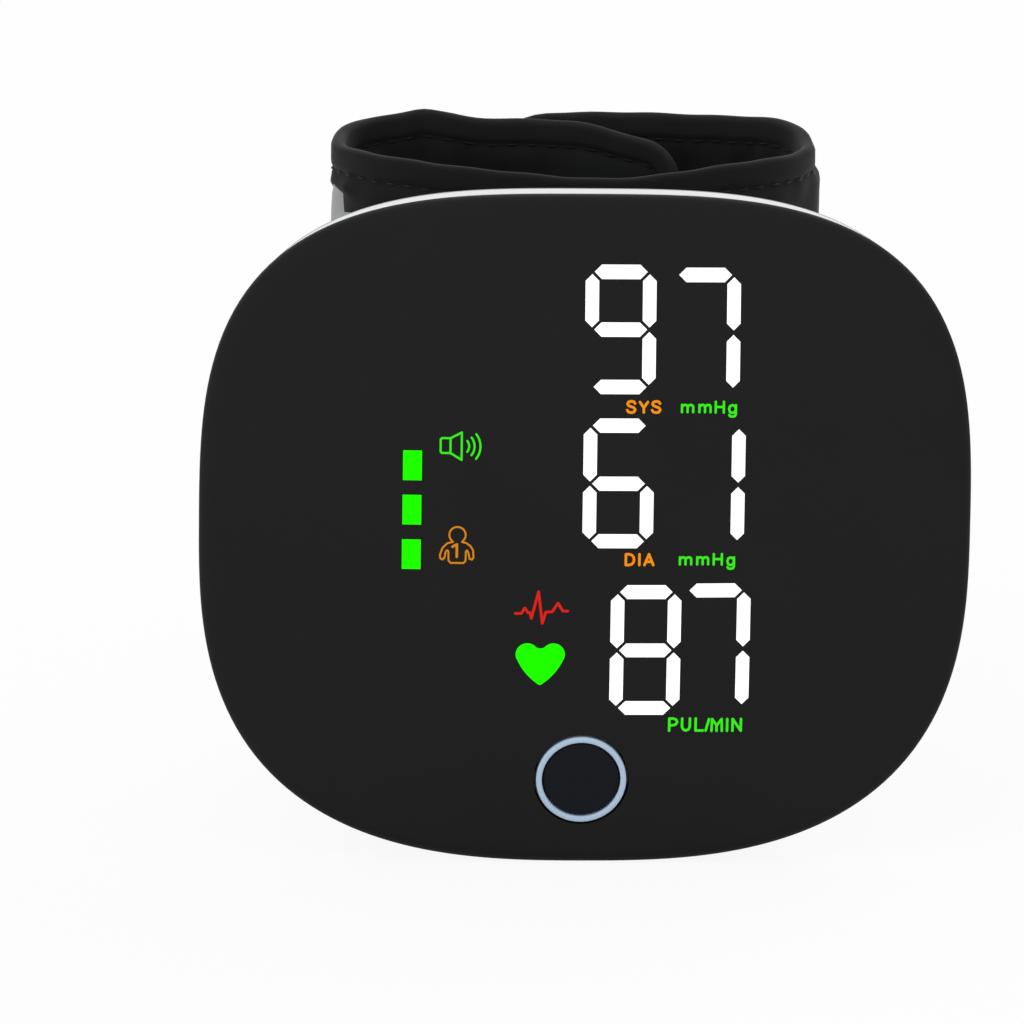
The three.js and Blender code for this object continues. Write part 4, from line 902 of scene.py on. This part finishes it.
def cuff_mesh(name, half):
    """A closed body of two faces that meet along the outline, with a plain end where the halves meet."""
    tip_radius = half.tip_radius
    straight = half.length - tip_radius
    stations = list(np.linspace(0, straight - TIP_ROOM, int((straight - TIP_ROOM) / STATION_STEP) + 1))
    for back in sorted({tip_radius + step for step in TIP_STEPS} | set(HEM_ROWS[:-1]), reverse=True):
        if half.length - back > stations[-1]:
            stations.append(half.length - back)
    stations = np.array(stations)
    past = np.clip(stations - straight, 0, tip_radius)
    trim = tip_radius - np.sqrt(np.maximum(0, tip_radius ** 2 - past ** 2))
    middle_rows = np.linspace(CUFF_LOW + HEM_ROWS[-1], CUFF_HIGH - HEM_ROWS[-1], MIDDLE_ROWS)[1:-1]
    rows = np.concatenate([
        CUFF_LOW + np.array(HEM_ROWS), middle_rows, CUFF_HIGH - np.array(HEM_ROWS[::-1])])
    share = (rows - CUFF_LOW) / (CUFF_HIGH - CUFF_LOW)
    count, wide = len(stations), len(rows)
    s = np.repeat(stations, wide)
    low, high = CUFF_LOW + np.repeat(trim, wide), CUFF_HIGH - np.repeat(trim, wide)
    z = low + np.tile(share, count) * (high - low)
    border = np.zeros((count, wide), bool)
    border[:, 0] = border[:, -1] = border[-1, :] = True
    border = border.ravel()
    number_in = second_face(border)
    points = np.concatenate([half.surface(s, z, 1), half.surface(s, z, -1)[~border]])
    edge = half.edge(s, z)
    faces, finishes, places = [], [], []
    for quad in grid_quads(count, wide, half.side > 0):
        faces.append(quad)
        finishes.append(0)
        places.append(quad)
        # The inner face takes the lining, and along the hems the paler nylon copy, whose extra lightness is
        # painted light.
        faces.append([number_in[k] for k in reversed(quad)])
        finishes.append(1 if min(edge[k] for k in quad) >= HEM_DEPTH else 2)
        places.append(quad[::-1])
    for j in range(wide - 1):
        loop = [j, j + 1, number_in[j + 1], number_in[j]]
        loop = [k for n, k in enumerate(loop) if k != loop[n - 1]]
        faces.append(loop if half.side > 0 else loop[::-1])
        finishes.append(0)
        places.append(())
    piece = make_piece(name, points, faces)
    weave = piece.data.uv_layers.new(name="weave")
    flat = np.column_stack([s, z]) * CLOTH_SCALE
    for polygon, place in zip(piece.data.polygons, places):
        for corner, k in zip(polygon.loop_indices, place):
            weave.data[corner].uv = flat[k]
    piece.data.polygons.foreach_set("material_index", finishes)
    return shade(piece, 80)


def tube_faces(first, rings, sides, forward=True):
    """Faces of a closed tube whose rings of corners are numbered from first on."""
    faces = []
    for k in range(rings - 1):
        for j in range(sides):
            a, b = first + k * sides + j, first + k * sides + (j + 1) % sides
            faces.append((a, b, b + sides, a + sides))
    faces.append([first + j for j in reversed(range(sides))])
    faces.append([first + (rings - 1) * sides + j for j in range(sides)])
    return faces if forward else [face[::-1] for face in faces]


THREAD_LENGTH = 1.35
THREAD_RADIUS = 0.11
THREAD_SIDES = 6
THREAD_SUNK = 0.02
THREAD_ARCH = 0.13
THREAD_PROFILE = np.array([(0.0, 0.25), (0.12, 0.8), (0.35, 1.0), (0.65, 1.0), (0.88, 0.8), (1.0, 0.25)])


def stitches(name, half):
    """A row of short raised threads along the hem's stitch line, on both faces of the half."""
    low = CUFF_LOW + HEM_DEPTH
    corner = half.tip_radius - HEM_DEPTH
    straight = half.length - half.tip_radius
    line = [(0.0, low), (straight, low), *arc((straight, low + corner), corner, -90, 0, 12)[1:]]
    line += [(a, CUFF_LOW + CUFF_HIGH - b) for a, b in reversed(line)]
    line = np.array(line)
    run = np.concatenate([[0], np.cumsum(np.linalg.norm(np.diff(line, axis=0), axis=1))])
    along, thickness = THREAD_PROFILE.T
    points, faces = [], []
    for face in (1, -1):
        for start in np.arange(1.0, run[-1] - 1.0, STITCH_PITCH):
            d = start + along * THREAD_LENGTH
            s, z = np.interp(d, run, line[:, 0]), np.interp(d, run, line[:, 1])
            out = half.outward(s, face)
            arch = THREAD_SUNK + THREAD_ARCH * np.sin(math.pi * along)
            middle = half.surface(s, z, face) + out * arch[:, None]
            forward = np.gradient(middle, axis=0)
            forward /= np.linalg.norm(forward, axis=1)[:, None]
            across = np.cross(forward, out)
            across /= np.linalg.norm(across, axis=1)[:, None]
            faces += tube_faces(len(points), len(along), THREAD_SIDES)
            for k, thick in enumerate(thickness):
                for turn in np.arange(THREAD_SIDES) * 2 * math.pi / THREAD_SIDES:
                    spoke = across[k] * math.cos(turn) + out[k] * math.sin(turn)
                    points.append(middle[k] + THREAD_RADIUS * thick * spoke)
    return shade(make_piece(name, np.array(points), faces), 60)


YARN_PITCH = 0.24


def woven_nylon(name, colour):
    """Close plain weave: two sets of rounded yarns over the flat cloth, softly clouded, with a dull sheen."""
    material, shader, cloth = new_finish(
        name, "UV", Sheen_Weight=0.09, Sheen_Roughness=0.35, Specular_IOR_Level=0.12)
    yarns = math.pi / (YARN_PITCH * CLOTH_SCALE)
    along = cloth.node("ShaderNodeSeparateXYZ", inputs={"Vector": cloth}, output="X")
    up = cloth.node("ShaderNodeSeparateXYZ", inputs={"Vector": cloth}, output="Y")
    weave = (along * yarns).math("SINE") * (up * yarns).math("SINE")
    cloud = noise(cloth, 9.0, 4.0)
    slub = noise(cloth, 160.0, 2.0)
    tint(shader, cloud * 0.6 + slub * 0.3 + weave * 0.1, colour, 0.75, 1.25)
    (0.62 + cloud * 0.14 + slub * 0.08).into(shader.inputs["Roughness"])
    dent(shader, weave * 0.7 + slub * 0.6, 0.6, 0.012)
    return material


def brushed_lining(name, colour):
    """Brushed knit: short nap without a direction, dull, with broad paler and darker patches painted on as
    the light and shade of folds.
    """
    material, shader, cloth = new_finish(
        name, "UV", Sheen_Weight=0.08, Sheen_Roughness=0.6, Specular_IOR_Level=0.1)
    nap = noise(cloth, 260.0, 4.0)
    # Painted light and shade: broad patches of the lining are lightened and darkened to stand for the light
    # and shade of its folds.
    fold_light_and_shade = noise(cloth, 11.0, 4.0)
    tint(shader, nap * 0.3 + fold_light_and_shade * 1.6 - 0.45, colour, 0.3, 2.0)
    (0.84 + nap * 0.12).into(shader.inputs["Roughness"])
    dent(shader, nap, 0.8, 0.06)
    return material


def spun_thread(name, colour):
    """Twisted polyester thread with a soft gloss along its length."""
    material, shader, place = new_finish(name, Sheen_Weight=0.05, Specular_IOR_Level=0.2)
    twist = noise(place, 5000.0, 2.0)
    tint(shader, twist, colour, 0.6, 1.4)
    (0.4 + twist * 0.2).into(shader.inputs["Roughness"])
    return material


CUFF_LAYERS = ["cuff_cover_", "cuff_lining_", "bladder_"]
nylon = woven_nylon("black_nylon", (0.0078, 0.0078, 0.0084))
lining = brushed_lining("black_lining", (0.0062, 0.0068, 0.0066))
# Painted light: the hem's inside is the same nylon in a copy about twice as light, lightened to stand for the
# light that falls on it.
hem_painted_lighter = woven_nylon("black_hem_painted_light", (0.0150, 0.0150, 0.0156))
thread = spun_thread("black_thread", (0.0065, 0.0065, 0.007))
right_half = CuffHalf(1, RIGHT_END_TURN, RIGHT_TIP_RADIUS)
left_half = CuffHalf(-1, LEFT_END_TURN, LEFT_TIP_RADIUS)
for name, half, wing in (("right", right_half, "outer_wing"), ("left", left_half, "inner_wing")):
    half.settled = {face: settle(half, face) for face in (1, -1)}
    cuff = cuff_mesh("cuff_" + name, half)
    seam = stitches("cuff_thread_" + name, half)
    for piece in (cuff, seam):
        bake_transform(piece)
    for finish in (nylon, lining, hem_painted_lighter):
        cuff.data.materials.append(finish)
    seam.data.materials.append(thread)
    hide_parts(*[layer + name for layer in CUFF_LAYERS])
    if name == "right":
        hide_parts(*[layer + "center" for layer in CUFF_LAYERS])

# Hook and loop pads: the fastening of the cuff, sewn on flat, one on the lining of the right half's end and
# one on the outside of the left half's end. Moulded nylon hooks on a strip, and a pile of soft loops.
PAD_LOW = -28.5
PAD_HIGH = 27.0
PAD_LENGTH = 22.0
PAD_CORNER = 3.0
PAD_THICK = 0.3
PAD_BORDER_SUNK = 0.05
PAD_SUNK = 0.1
HOOK_PAD_END = 6.0
HOOK_PAD_STEP = 0.8
LOOP_PAD_END = 9.0
LOOP_PAD_STEP = 0.45
PILE_HEIGHT = 0.2
HOOK_PITCH = 1.25
HOOK_MARGIN = 1.2
HOOK_STAGGER = 0.3
HOOK_LINE = [(0.0, -0.05, 0.13), (0.0, 0.22, 0.11), (0.1, 0.38, 0.09), (0.26, 0.4, 0.07), (0.33, 0.3, 0.04)]


def pad(half, face, end, step, pile=0.0):
    """A sewn strip with round corners on one face of a half, a distance from its end, with an uneven pile."""
    along = np.linspace(0, PAD_LENGTH, int(PAD_LENGTH / step) + 1)
    stations = half.length - end - PAD_LENGTH + along
    rows = np.linspace(0, 1, int((PAD_HIGH - PAD_LOW) / step) + 1)
    corner = np.clip(PAD_CORNER - np.minimum(along, PAD_LENGTH - along), 0, PAD_CORNER)
    trim = PAD_CORNER - np.sqrt(PAD_CORNER ** 2 - corner ** 2)
    count, wide = len(stations), len(rows)
    s = np.repeat(stations, wide)
    low, high = PAD_LOW + np.repeat(trim, wide), PAD_HIGH - np.repeat(trim, wide)
    z = low + np.tile(rows, count) * (high - low)
    out = half.outward(s, face)
    border = np.zeros((count, wide), bool)
    border[0, :] = border[-1, :] = border[:, 0] = border[:, -1] = True
    border = border.ravel()
    tuft = np.random.default_rng(5).uniform(0, pile, len(s))
    sewn = half.surface(s, z, face)
    top = sewn + out * np.where(border, -PAD_BORDER_SUNK, PAD_THICK + tuft)[:, None]
    under = sewn - out * PAD_SUNK
    number_under = second_face(border)
    faces = []
    for quad in grid_quads(count, wide, half.side * face > 0):
        faces.append(quad)
        faces.append([number_under[k] for k in reversed(quad)])
    return np.concatenate([top, under[~border]]), faces


def hooks(half, face, end):
    """Rows of small bent hooks over a pad, each leaning along the strip, in alternate directions by row."""
    points, faces = [], []
    up = np.array([0.0, 0.0, 1.0])
    first_s = half.length - end - PAD_LENGTH
    last_s = first_s + PAD_LENGTH - HOOK_MARGIN
    for j, z in enumerate(np.arange(PAD_LOW + 1, PAD_HIGH - 0.9, HOOK_PITCH)):
        lean = 1 if j % 2 else -1
        for s in np.arange(first_s + HOOK_MARGIN + HOOK_STAGGER * lean, last_s, HOOK_PITCH):
            where = np.array([s])
            root = half.surface(where, np.array([z]), face)[0]
            out = half.outward(where, face)[0]
            ahead = np.cross(out, up) * lean
            corners = (ahead + up, up - ahead, -ahead - up, ahead - up)
            faces += tube_faces(len(points), len(HOOK_LINE), len(corners), lean < 0)
            for forward, height, thick in HOOK_LINE:
                middle = root + out * (PAD_THICK + height) + ahead * forward
                points += [middle + corner * thick for corner in corners]
    return np.array(points), faces


def loop_pile(name, colour):
    """A felt of short loops: dull and broken up by a coarse noise in tone and height."""
    material, shader, place = new_finish(
        name, Sheen_Weight=0.15, Sheen_Roughness=0.7, Specular_IOR_Level=0.1)
    tufts = noise(place, 1900.0, 3.0)
    tint(shader, tufts, colour, 0.4, 1.7)
    (0.8 + tufts * 0.15).into(shader.inputs["Roughness"])
    dent(shader, tufts, 0.9, 0.15)
    return material


strip_points, strip_faces = pad(right_half, -1, HOOK_PAD_END, HOOK_PAD_STEP)
hook_points, hook_faces = hooks(right_half, -1, HOOK_PAD_END)
hook_faces = [[len(strip_points) + k for k in face] for face in hook_faces]
hook_pad = shade(make_piece(
    "hook_strip", np.concatenate([strip_points, hook_points]), strip_faces + hook_faces), 50)
hook_pad.data.materials.append(
    moulded_plastic("black_hooks", (0.012, 0.012, 0.013), 0.4, 0.4, 0.01, specular=0.3))
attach(hook_pad, "outer_wing")
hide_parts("hook_pad")
loop_pad = shade(make_piece("loop_strip", *pad(left_half, 1, LOOP_PAD_END, LOOP_PAD_STEP, PILE_HEIGHT)), 180)
loop_pad.data.materials.append(loop_pile("black_loops", (0.010, 0.010, 0.011)))
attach(loop_pad, "inner_wing")
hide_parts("loop_pad")

# Button: a pale ring pressed into the panel and a dished black cap, which slides in it on a stem.
# Both are moulded plastic and stand square to the slope of the dome.
RING_WIDTH = 0.65
RING_DEPTH = 1.6
RING_PROUD = 0.16
CAP_RADIUS = 4.25
CAP_ROUND = 0.3
CAP_DISH = 0.12
CAP_HUB = 0.05
FLANGE_FRONT = 1.75
FLANGE_BACK = 2.35
STEM_RADIUS = 1.5
STEM_BREAK = 0.2
STEM_SHORT = 0.1


def turned(profile, sides=128):
    """The rings of a body of revolution on the button's axis, from (radius, depth) pairs."""
    return [round_ring(radius, depth, button_tilt, button_place, sides) for radius, depth in profile]


ring_middle = BUTTON_RADIUS - RING_WIDTH / 2
ring_profile = [(BUTTON_RADIUS - RING_WIDTH, RING_DEPTH)]
for turn in np.radians(np.linspace(180, 0, 13)):
    ring_profile.append((ring_middle + RING_WIDTH / 2 * math.cos(turn), -RING_PROUD * math.sin(turn)))
ring_profile.append((BUTTON_RADIUS, RING_DEPTH))
button_ring = shade(loft("button_bezel", turned(ring_profile), closed=True), 50)
ring_finish = moulded_plastic("pale_blue_ring", (0.48, 0.63, 0.81), 0.35, 0.15, 0.001, cloud_share=0.03)
button_ring.data.materials.append(ring_finish)
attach(button_ring, "case")
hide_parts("button_ring")

cap_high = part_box("button_cap")[1]
stem_end = (cap_high.y / MM - FACE_ZERO[1] / MM - button_depth) / math.cos(button_tilt) - STEM_SHORT
flat_radius = CAP_RADIUS - CAP_ROUND
cap_profile = [(CAP_HUB, CAP_DISH)]
for share in np.linspace(0, 1, 9)[1:]:
    cap_profile.append((flat_radius * share, CAP_DISH * (1 - share ** 2)))
for turn in np.radians(np.linspace(90, 0, 6)[1:]):
    cap_profile.append((flat_radius + CAP_ROUND * math.cos(turn), CAP_ROUND * (1 - math.sin(turn))))
cap_profile += [
    (CAP_RADIUS, FLANGE_FRONT), (BUTTON_RADIUS, FLANGE_FRONT), (BUTTON_RADIUS, FLANGE_BACK),
    (STEM_RADIUS, FLANGE_BACK), (STEM_RADIUS, stem_end), (STEM_RADIUS - STEM_BREAK, stem_end),
]
button_cap = shade(loft("button_dish", turned(cap_profile)))
button_cap.data.materials.append(
    moulded_plastic("black_key", (0.0120, 0.0128, 0.0160), 0.4, 0.2, 0.002, specular=0.03))
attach(button_cap, "button")
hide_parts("button_cap")

# Lit display: bars of light and small signs that shine through the black panel, all but flush with it.
# Each is a thin window of clear resin moulded into the dome, lit from the block behind.
WINDOW_LIFT = 0.035
WINDOW_SUNK = 0.12
DIGIT_WIDTH = 7.84
UPRIGHT_WIDTH = 1.50
LEVEL_WIDTH = 1.59
BAR_GAP = 0.25
BARS_OF = {"1": "bc", "6": "afgedc", "7": "abc", "8": "abcdefg", "9": "abcdfg"}
BAR_PLACES = {
    "a": (0, 1, False), "g": (0, 0, False), "d": (0, -1, False),
    "f": (-0.5, 0.5, True), "b": (0.5, 0.5, True), "e": (-0.5, -0.5, True), "c": (0.5, -0.5, True),
}
DIGITS = [
    ("9", 3.41, 23.60, 14.30), ("7", 12.74, 23.30, 14.30),
    ("6", 3.38, 6.41, 14.64), ("1", 13.50, 6.26, 14.64),
    ("8", 6.67, -12.64, 15.03), ("7", 14.39, -12.47, 15.03),
]


def on_dome(x, z, lift):
    """Points that stand the given lift in front of the domed face."""
    exponent = np.where(z >= 0, UPPER_EXPONENT, LOWER_EXPONENT)
    edge = super_radius(np.arctan2(z, x), HALF_WIDTH - EDGE_INSET, HALF_HEIGHT - EDGE_INSET, exponent)
    return np.column_stack([x, np.maximum(dome_depth(np.hypot(x, z) / edge), 0) - lift, z])


def light_windows(name, light, outlines):
    """Thin lit bodies from flat outlines of (x, z), laid into the dome of the case."""
    points, faces = [], []
    for outline in outlines:
        x, z = np.asarray(outline, float).T
        count, first = len(x), sum(len(part) for part in points)
        points += [on_dome(x, z, WINDOW_LIFT), on_dome(x, z, -WINDOW_SUNK)]
        area = np.sum(x * np.roll(z, -1) - np.roll(x, -1) * z)
        order = list(range(count)) if area > 0 else list(range(count))[::-1]
        faces.append([first + i for i in order])
        faces.append([first + count + i for i in reversed(order)])
        for a, b in zip(order, order[1:] + order[:1]):
            faces.append((first + a, first + count + a, first + count + b, first + b))
    piece = make_piece(name, np.concatenate(points), faces)
    piece.data.materials.append(light)
    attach(piece, "case")


def bar(x, z, length, upright):
    """One bar of a figure, with pointed ends."""
    half = length / 2 - BAR_GAP
    wide = (UPRIGHT_WIDTH if upright else LEVEL_WIDTH) / 2
    flat = half - wide
    outline = [(-half, 0), (-flat, -wide), (flat, -wide), (half, 0), (flat, wide), (-flat, wide)]
    return [(x - b, z + a) if upright else (x + a, z + b) for a, b in outline]


def lit(name, colour, strength=1.0):
    """Light through resin: an even glow with a faint grain."""
    dim = (*[0.2 * channel for channel in colour], 1)
    material, shader, place = new_finish(
        name, Base_Color=dim, Roughness=0.4, Specular_IOR_Level=0.0, Emission_Strength=strength)
    tint(shader, noise(place, 900.0, 1.0), colour, 1.0, 1.03, "Emission Color")
    return material


across = DIGIT_WIDTH - UPRIGHT_WIDTH
digit_bars = []
for figure, x, z, height in DIGITS:
    along = (height - LEVEL_WIDTH) / 2
    for letter in BARS_OF[figure]:
        dx, dz, upright = BAR_PLACES[letter]
        digit_bars.append(bar(x + dx * across, z + dz * along, along if upright else across, upright))
light_windows("digit_windows", lit("white_light", (1.0, 1.0, 1.0), 1.1), digit_bars)

HEART = (-5.02, -14.27)
CHARGE_HALF = (1.04, 1.68)
CHARGE_PLACES = [(-19.43, 8.28), (-19.45, 3.26), (-19.47, -1.80)]
heart_lobe = arc((1.45, 1.12), 1.29, 142, -20, 16)
heart_flank = arc((-3.65, 3.27), 6.80, -23, -55, 8)
heart_tip = arc((0.0, -2.06), 0.35, -58, -90, 4)
heart_half = [(0.0, 1.80), *heart_lobe, *heart_flank, *heart_tip]
heart = [(HEART[0] + x, HEART[1] + z) for x, z in heart_half]
heart += [(HEART[0] - x, HEART[1] + z) for x, z in heart_half[-2:0:-1]]
green_shapes = [heart]
for x, z in CHARGE_PLACES:
    wide, tall = CHARGE_HALF
    green_shapes.append([
        (x - wide, z - tall), (x + wide, z - tall), (x + wide, z + tall), (x - wide, z + tall)])
light_windows("green_windows", lit("green_light", (0.0123, 0.9911, 0.0)), green_shapes)


def stroke(line, width, closed=False):
    """Round-ended outlines of the given width along a line of points, one for each of its spans."""
    outlines = []
    for start, end in zip(line, line[1:] + line[:1] if closed else line[1:]):
        heading = math.degrees(math.atan2(end[1] - start[1], end[0] - start[0]))
        end_cap = arc(end, width / 2, heading - 90, heading + 90, 7)
        start_cap = arc(start, width / 2, heading + 90, heading + 270, 7)
        outlines.append(end_cap + start_cap)
    return outlines


SPEAKER_STROKE = 0.23
SPEAKER_BOX = [
    (-15.25, 11.40), (-16.2, 11.40), (-16.34, 11.26), (-16.34, 9.87), (-16.2, 9.73), (-15.25, 9.73),
]
SPEAKER_CONE = [(-15.25, 11.40), (-14.01, 12.06), (-14.01, 8.97), (-15.25, 9.73)]
SOUND_MIDDLE = (-14.19, 10.50)
speaker_shapes = stroke(SPEAKER_BOX, SPEAKER_STROKE) + stroke(SPEAKER_CONE, SPEAKER_STROKE, closed=True)
for radius in (1.0, 1.6, 2.25):
    speaker_shapes += stroke(arc(SOUND_MIDDLE, radius, -38, 38), SPEAKER_STROKE)
fine_green = lit("fine_green_light", (0.04, 0.72, 0.012))
light_windows("speaker_windows", fine_green, speaker_shapes)

USER = (-14.43, -0.68)
USER_SIZE = 0.96
USER_STROKE = 0.20
FIGURE_STROKE = 0.28
USER_LINE = arc((0.06, 1.2), 0.95, -52, 232, 16) + [
    (-0.45, 0.37), (-1.1, 0.2), (-1.65, -0.35), (-1.95, -1.2), (-1.9, -1.6), (-1.67, -1.74), (-1.42, -1.55),
    (-1.28, -0.8), (-1.1, -0.62), (-0.97, -0.75), (-0.95, -1.85), (-0.7, -2.12), (0.78, -2.12), (1.02, -1.85),
    (1.04, -0.75), (1.18, -0.62), (1.34, -0.9), (1.48, -1.63), (1.77, -1.7), (1.93, -1.45), (1.87, -0.6),
    (1.57, -0.1), (1.08, 0.25), (0.58, 0.37),
]
USER_FIGURE = [(-0.5, -0.2), (0.0, 0.08), (0.0, -1.4)]
user_line, user_figure = [
    [(USER[0] + USER_SIZE * x, USER[1] + USER_SIZE * z) for x, z in line]
    for line in (USER_LINE, USER_FIGURE)]
user_shapes = stroke(user_line, USER_STROKE, closed=True) + stroke(user_figure, FIGURE_STROKE)
light_windows("orange_windows", lit("fine_orange_light", (0.56, 0.20, 0.010)), user_shapes)

PULSE_STROKE = 0.30
PULSE = [
    (-7.86, -8.42), (-7.19, -8.41), (-6.82, -7.79), (-6.43, -8.34), (-6.2, -8.34), (-6.08, -8.97),
    (-5.30, -5.92), (-4.85, -9.54), (-4.48, -8.25), (-3.76, -8.2), (-3.13, -7.21), (-2.58, -8.12),
    (-2.04, -8.12),
]
light_windows("pulse_windows", lit("red_light", (0.58, 0.016, 0.010)), stroke(PULSE, PULSE_STROKE))

LEGEND_STROKE = 0.28
UNIT_STROKE = 0.26
LETTERS = {
    "A": [[(0, 0), (0.5, 1), (1, 0)], [(0.16, 0.3), (0.84, 0.3)]],
    "D": [[
        (0, 0), (0, 1), (0.4, 1), (0.74, 0.92), (0.94, 0.72), (1, 0.5), (0.94, 0.28), (0.74, 0.08), (0.4, 0),
        (0, 0)]],
    "H": [[(0, 0), (0, 1)], [(1, 0), (1, 1)], [(0, 0.52), (1, 0.52)]],
    "I": [[(0.5, 0), (0.5, 1)]],
    "L": [[(0, 1), (0, 0), (1, 0)]],
    "M": [[(0, 0), (0.04, 1), (0.49, 0.46), (0.96, 1), (1, 0)], [(0.49, 0.46), (0.49, 0)]],
    "N": [[(0, 0), (0, 1), (1, 0), (1, 1)]],
    "P": [[(0, 0), (0, 1), (0.52, 1), (0.85, 0.91), (1, 0.72), (0.85, 0.53), (0.52, 0.45), (0, 0.45)]],
    "S": [[
        (0.96, 0.8), (0.82, 0.95), (0.5, 1), (0.18, 0.94), (0.04, 0.76), (0.16, 0.61), (0.5, 0.52),
        (0.84, 0.43), (1, 0.25), (0.84, 0.06), (0.5, 0), (0.16, 0.06), (0, 0.22)]],
    "U": [[(0, 1), (0, 0.31), (0.16, 0.1), (0.49, 0), (0.85, 0.1), (1, 0.31), (1, 1)]],
    "Y": [[(0, 1), (0.5, 0.45), (1, 1)], [(0.5, 0.45), (0.5, 0)]],
    "/": [[(0, 0), (1, 1)]],
    "g": [
        [(1, 1), (1, 0.2), (0.86, 0.05), (0.5, 0), (0.16, 0.04), (0.04, 0.16)],
        [(1, 0.66), (0.86, 0.92), (0.5, 1), (0.14, 0.92), (0, 0.66), (0.14, 0.4), (0.5, 0.32), (0.86, 0.4),
         (1, 0.66)]],
    "m": [
        [(0, 0), (0, 1)], [(0, 0.72), (0.12, 0.93), (0.27, 1), (0.43, 0.93), (0.5, 0.72), (0.5, 0)],
        [(0.5, 0.72), (0.62, 0.93), (0.77, 1), (0.93, 0.93), (1, 0.72), (1, 0)]],
}


def word(name, light, width, letters):
    """Plain letters in strokes of one width, each in its own box of (x, x, z, z)."""
    outlines = []
    for letter, x0, x1, z0, z1 in letters:
        for line in LETTERS[letter]:
            outlines += stroke([(x0 + (x1 - x0) * a, z0 + (z1 - z0) * b) for a, b in line], width)
    light_windows(name, light, outlines)


orange_light = lit("orange_light", (0.79, 0.250, 0.006))
word("upper_legend", orange_light, LEGEND_STROKE, [
    ("S", 4.23, 5.13, 14.39, 15.67), ("Y", 5.63, 6.51, 14.42, 15.58), ("S", 6.99, 7.89, 14.39, 15.67)])
word("upper_unit", fine_green, UNIT_STROKE, [
    ("m", 10.30, 11.54, 14.46, 15.28), ("m", 12.23, 13.47, 14.46, 15.28),
    ("H", 14.04, 14.94, 14.41, 15.62), ("g", 15.52, 16.28, 13.95, 15.24)])
word("lower_legend", orange_light, LEGEND_STROKE, [
    ("D", 4.33, 5.24, -2.82, -1.59), ("I", 5.83, 5.83, -2.82, -1.59), ("A", 6.40, 7.38, -2.82, -1.59)])
word("lower_unit", fine_green, UNIT_STROKE, [
    ("m", 10.34, 11.60, -2.76, -1.94), ("m", 12.27, 13.49, -2.76, -1.94),
    ("H", 14.11, 15.01, -2.79, -1.60), ("g", 15.63, 16.37, -3.29, -1.99)])
word("rate_legend", fine_green, LEGEND_STROKE, [
    ("P", 9.52, 10.40, -22.04, -20.60), ("U", 10.95, 11.82, -22.02, -20.60),
    ("L", 12.47, 13.30, -22.02, -20.60), ("/", 13.61, 13.96, -22.02, -20.68),
    ("M", 14.26, 15.42, -22.07, -20.68), ("I", 16.00, 16.00, -22.07, -20.68),
    ("N", 16.61, 17.54, -22.07, -20.68)])


# Works inside the case: board, chips, cell, pump, valve, tubes and screws, as they are in the frame.
# Each takes the plain finish of its kind: tinned steel, solder mask, foil, rubber or moulded plastic.
def plated_metal(name, colour, roughness):
    """Drawn or plated metal with fine lines along its length and a little bloom."""
    material, shader, place = new_finish(name, Metallic=1.0)
    lines = noise(place, 1400.0, 2.0)
    bloom = noise(place, 160.0, 4.0)
    tint(shader, bloom, colour, 0.85, 1.0)
    (roughness + bloom * 0.12 + lines * 0.05).into(shader.inputs["Roughness"])
    dent(shader, lines, 0.4, 0.004)
    return material


inside_finishes = {
    "inner_black": moulded_plastic("inside_black", (0.018, 0.018, 0.019), 0.5, 0.3, 0.008),
    "inner_white": moulded_plastic("inside_white", (0.75, 0.75, 0.72), 0.5, 0.3, 0.008),
    "board_green": moulded_plastic("solder_mask", (0.015, 0.09, 0.035), 0.35, 0.5, 0.01, cloud_share=0.15),
    "steel": plated_metal("plated_steel", (0.55, 0.56, 0.57), 0.25),
    "cell_foil": plated_metal("cell_foil", (0.52, 0.55, 0.60), 0.35),
    "rubber_grey": moulded_plastic("grey_rubber", (0.05, 0.05, 0.055), 0.75, 0.4, 0.02),
    "tube_clear": moulded_plastic("milky_tube", (0.58, 0.60, 0.56), 0.4, 0.6, 0.005),
}
for subpart in frame["record"]["subparts"]:
    inside = inside_finishes.get(subpart["material_slot"])
    if inside is not None:
        node = frame["nodes"][subpart["node"]]
        node.data.materials.clear()
        node.data.materials.append(inside)
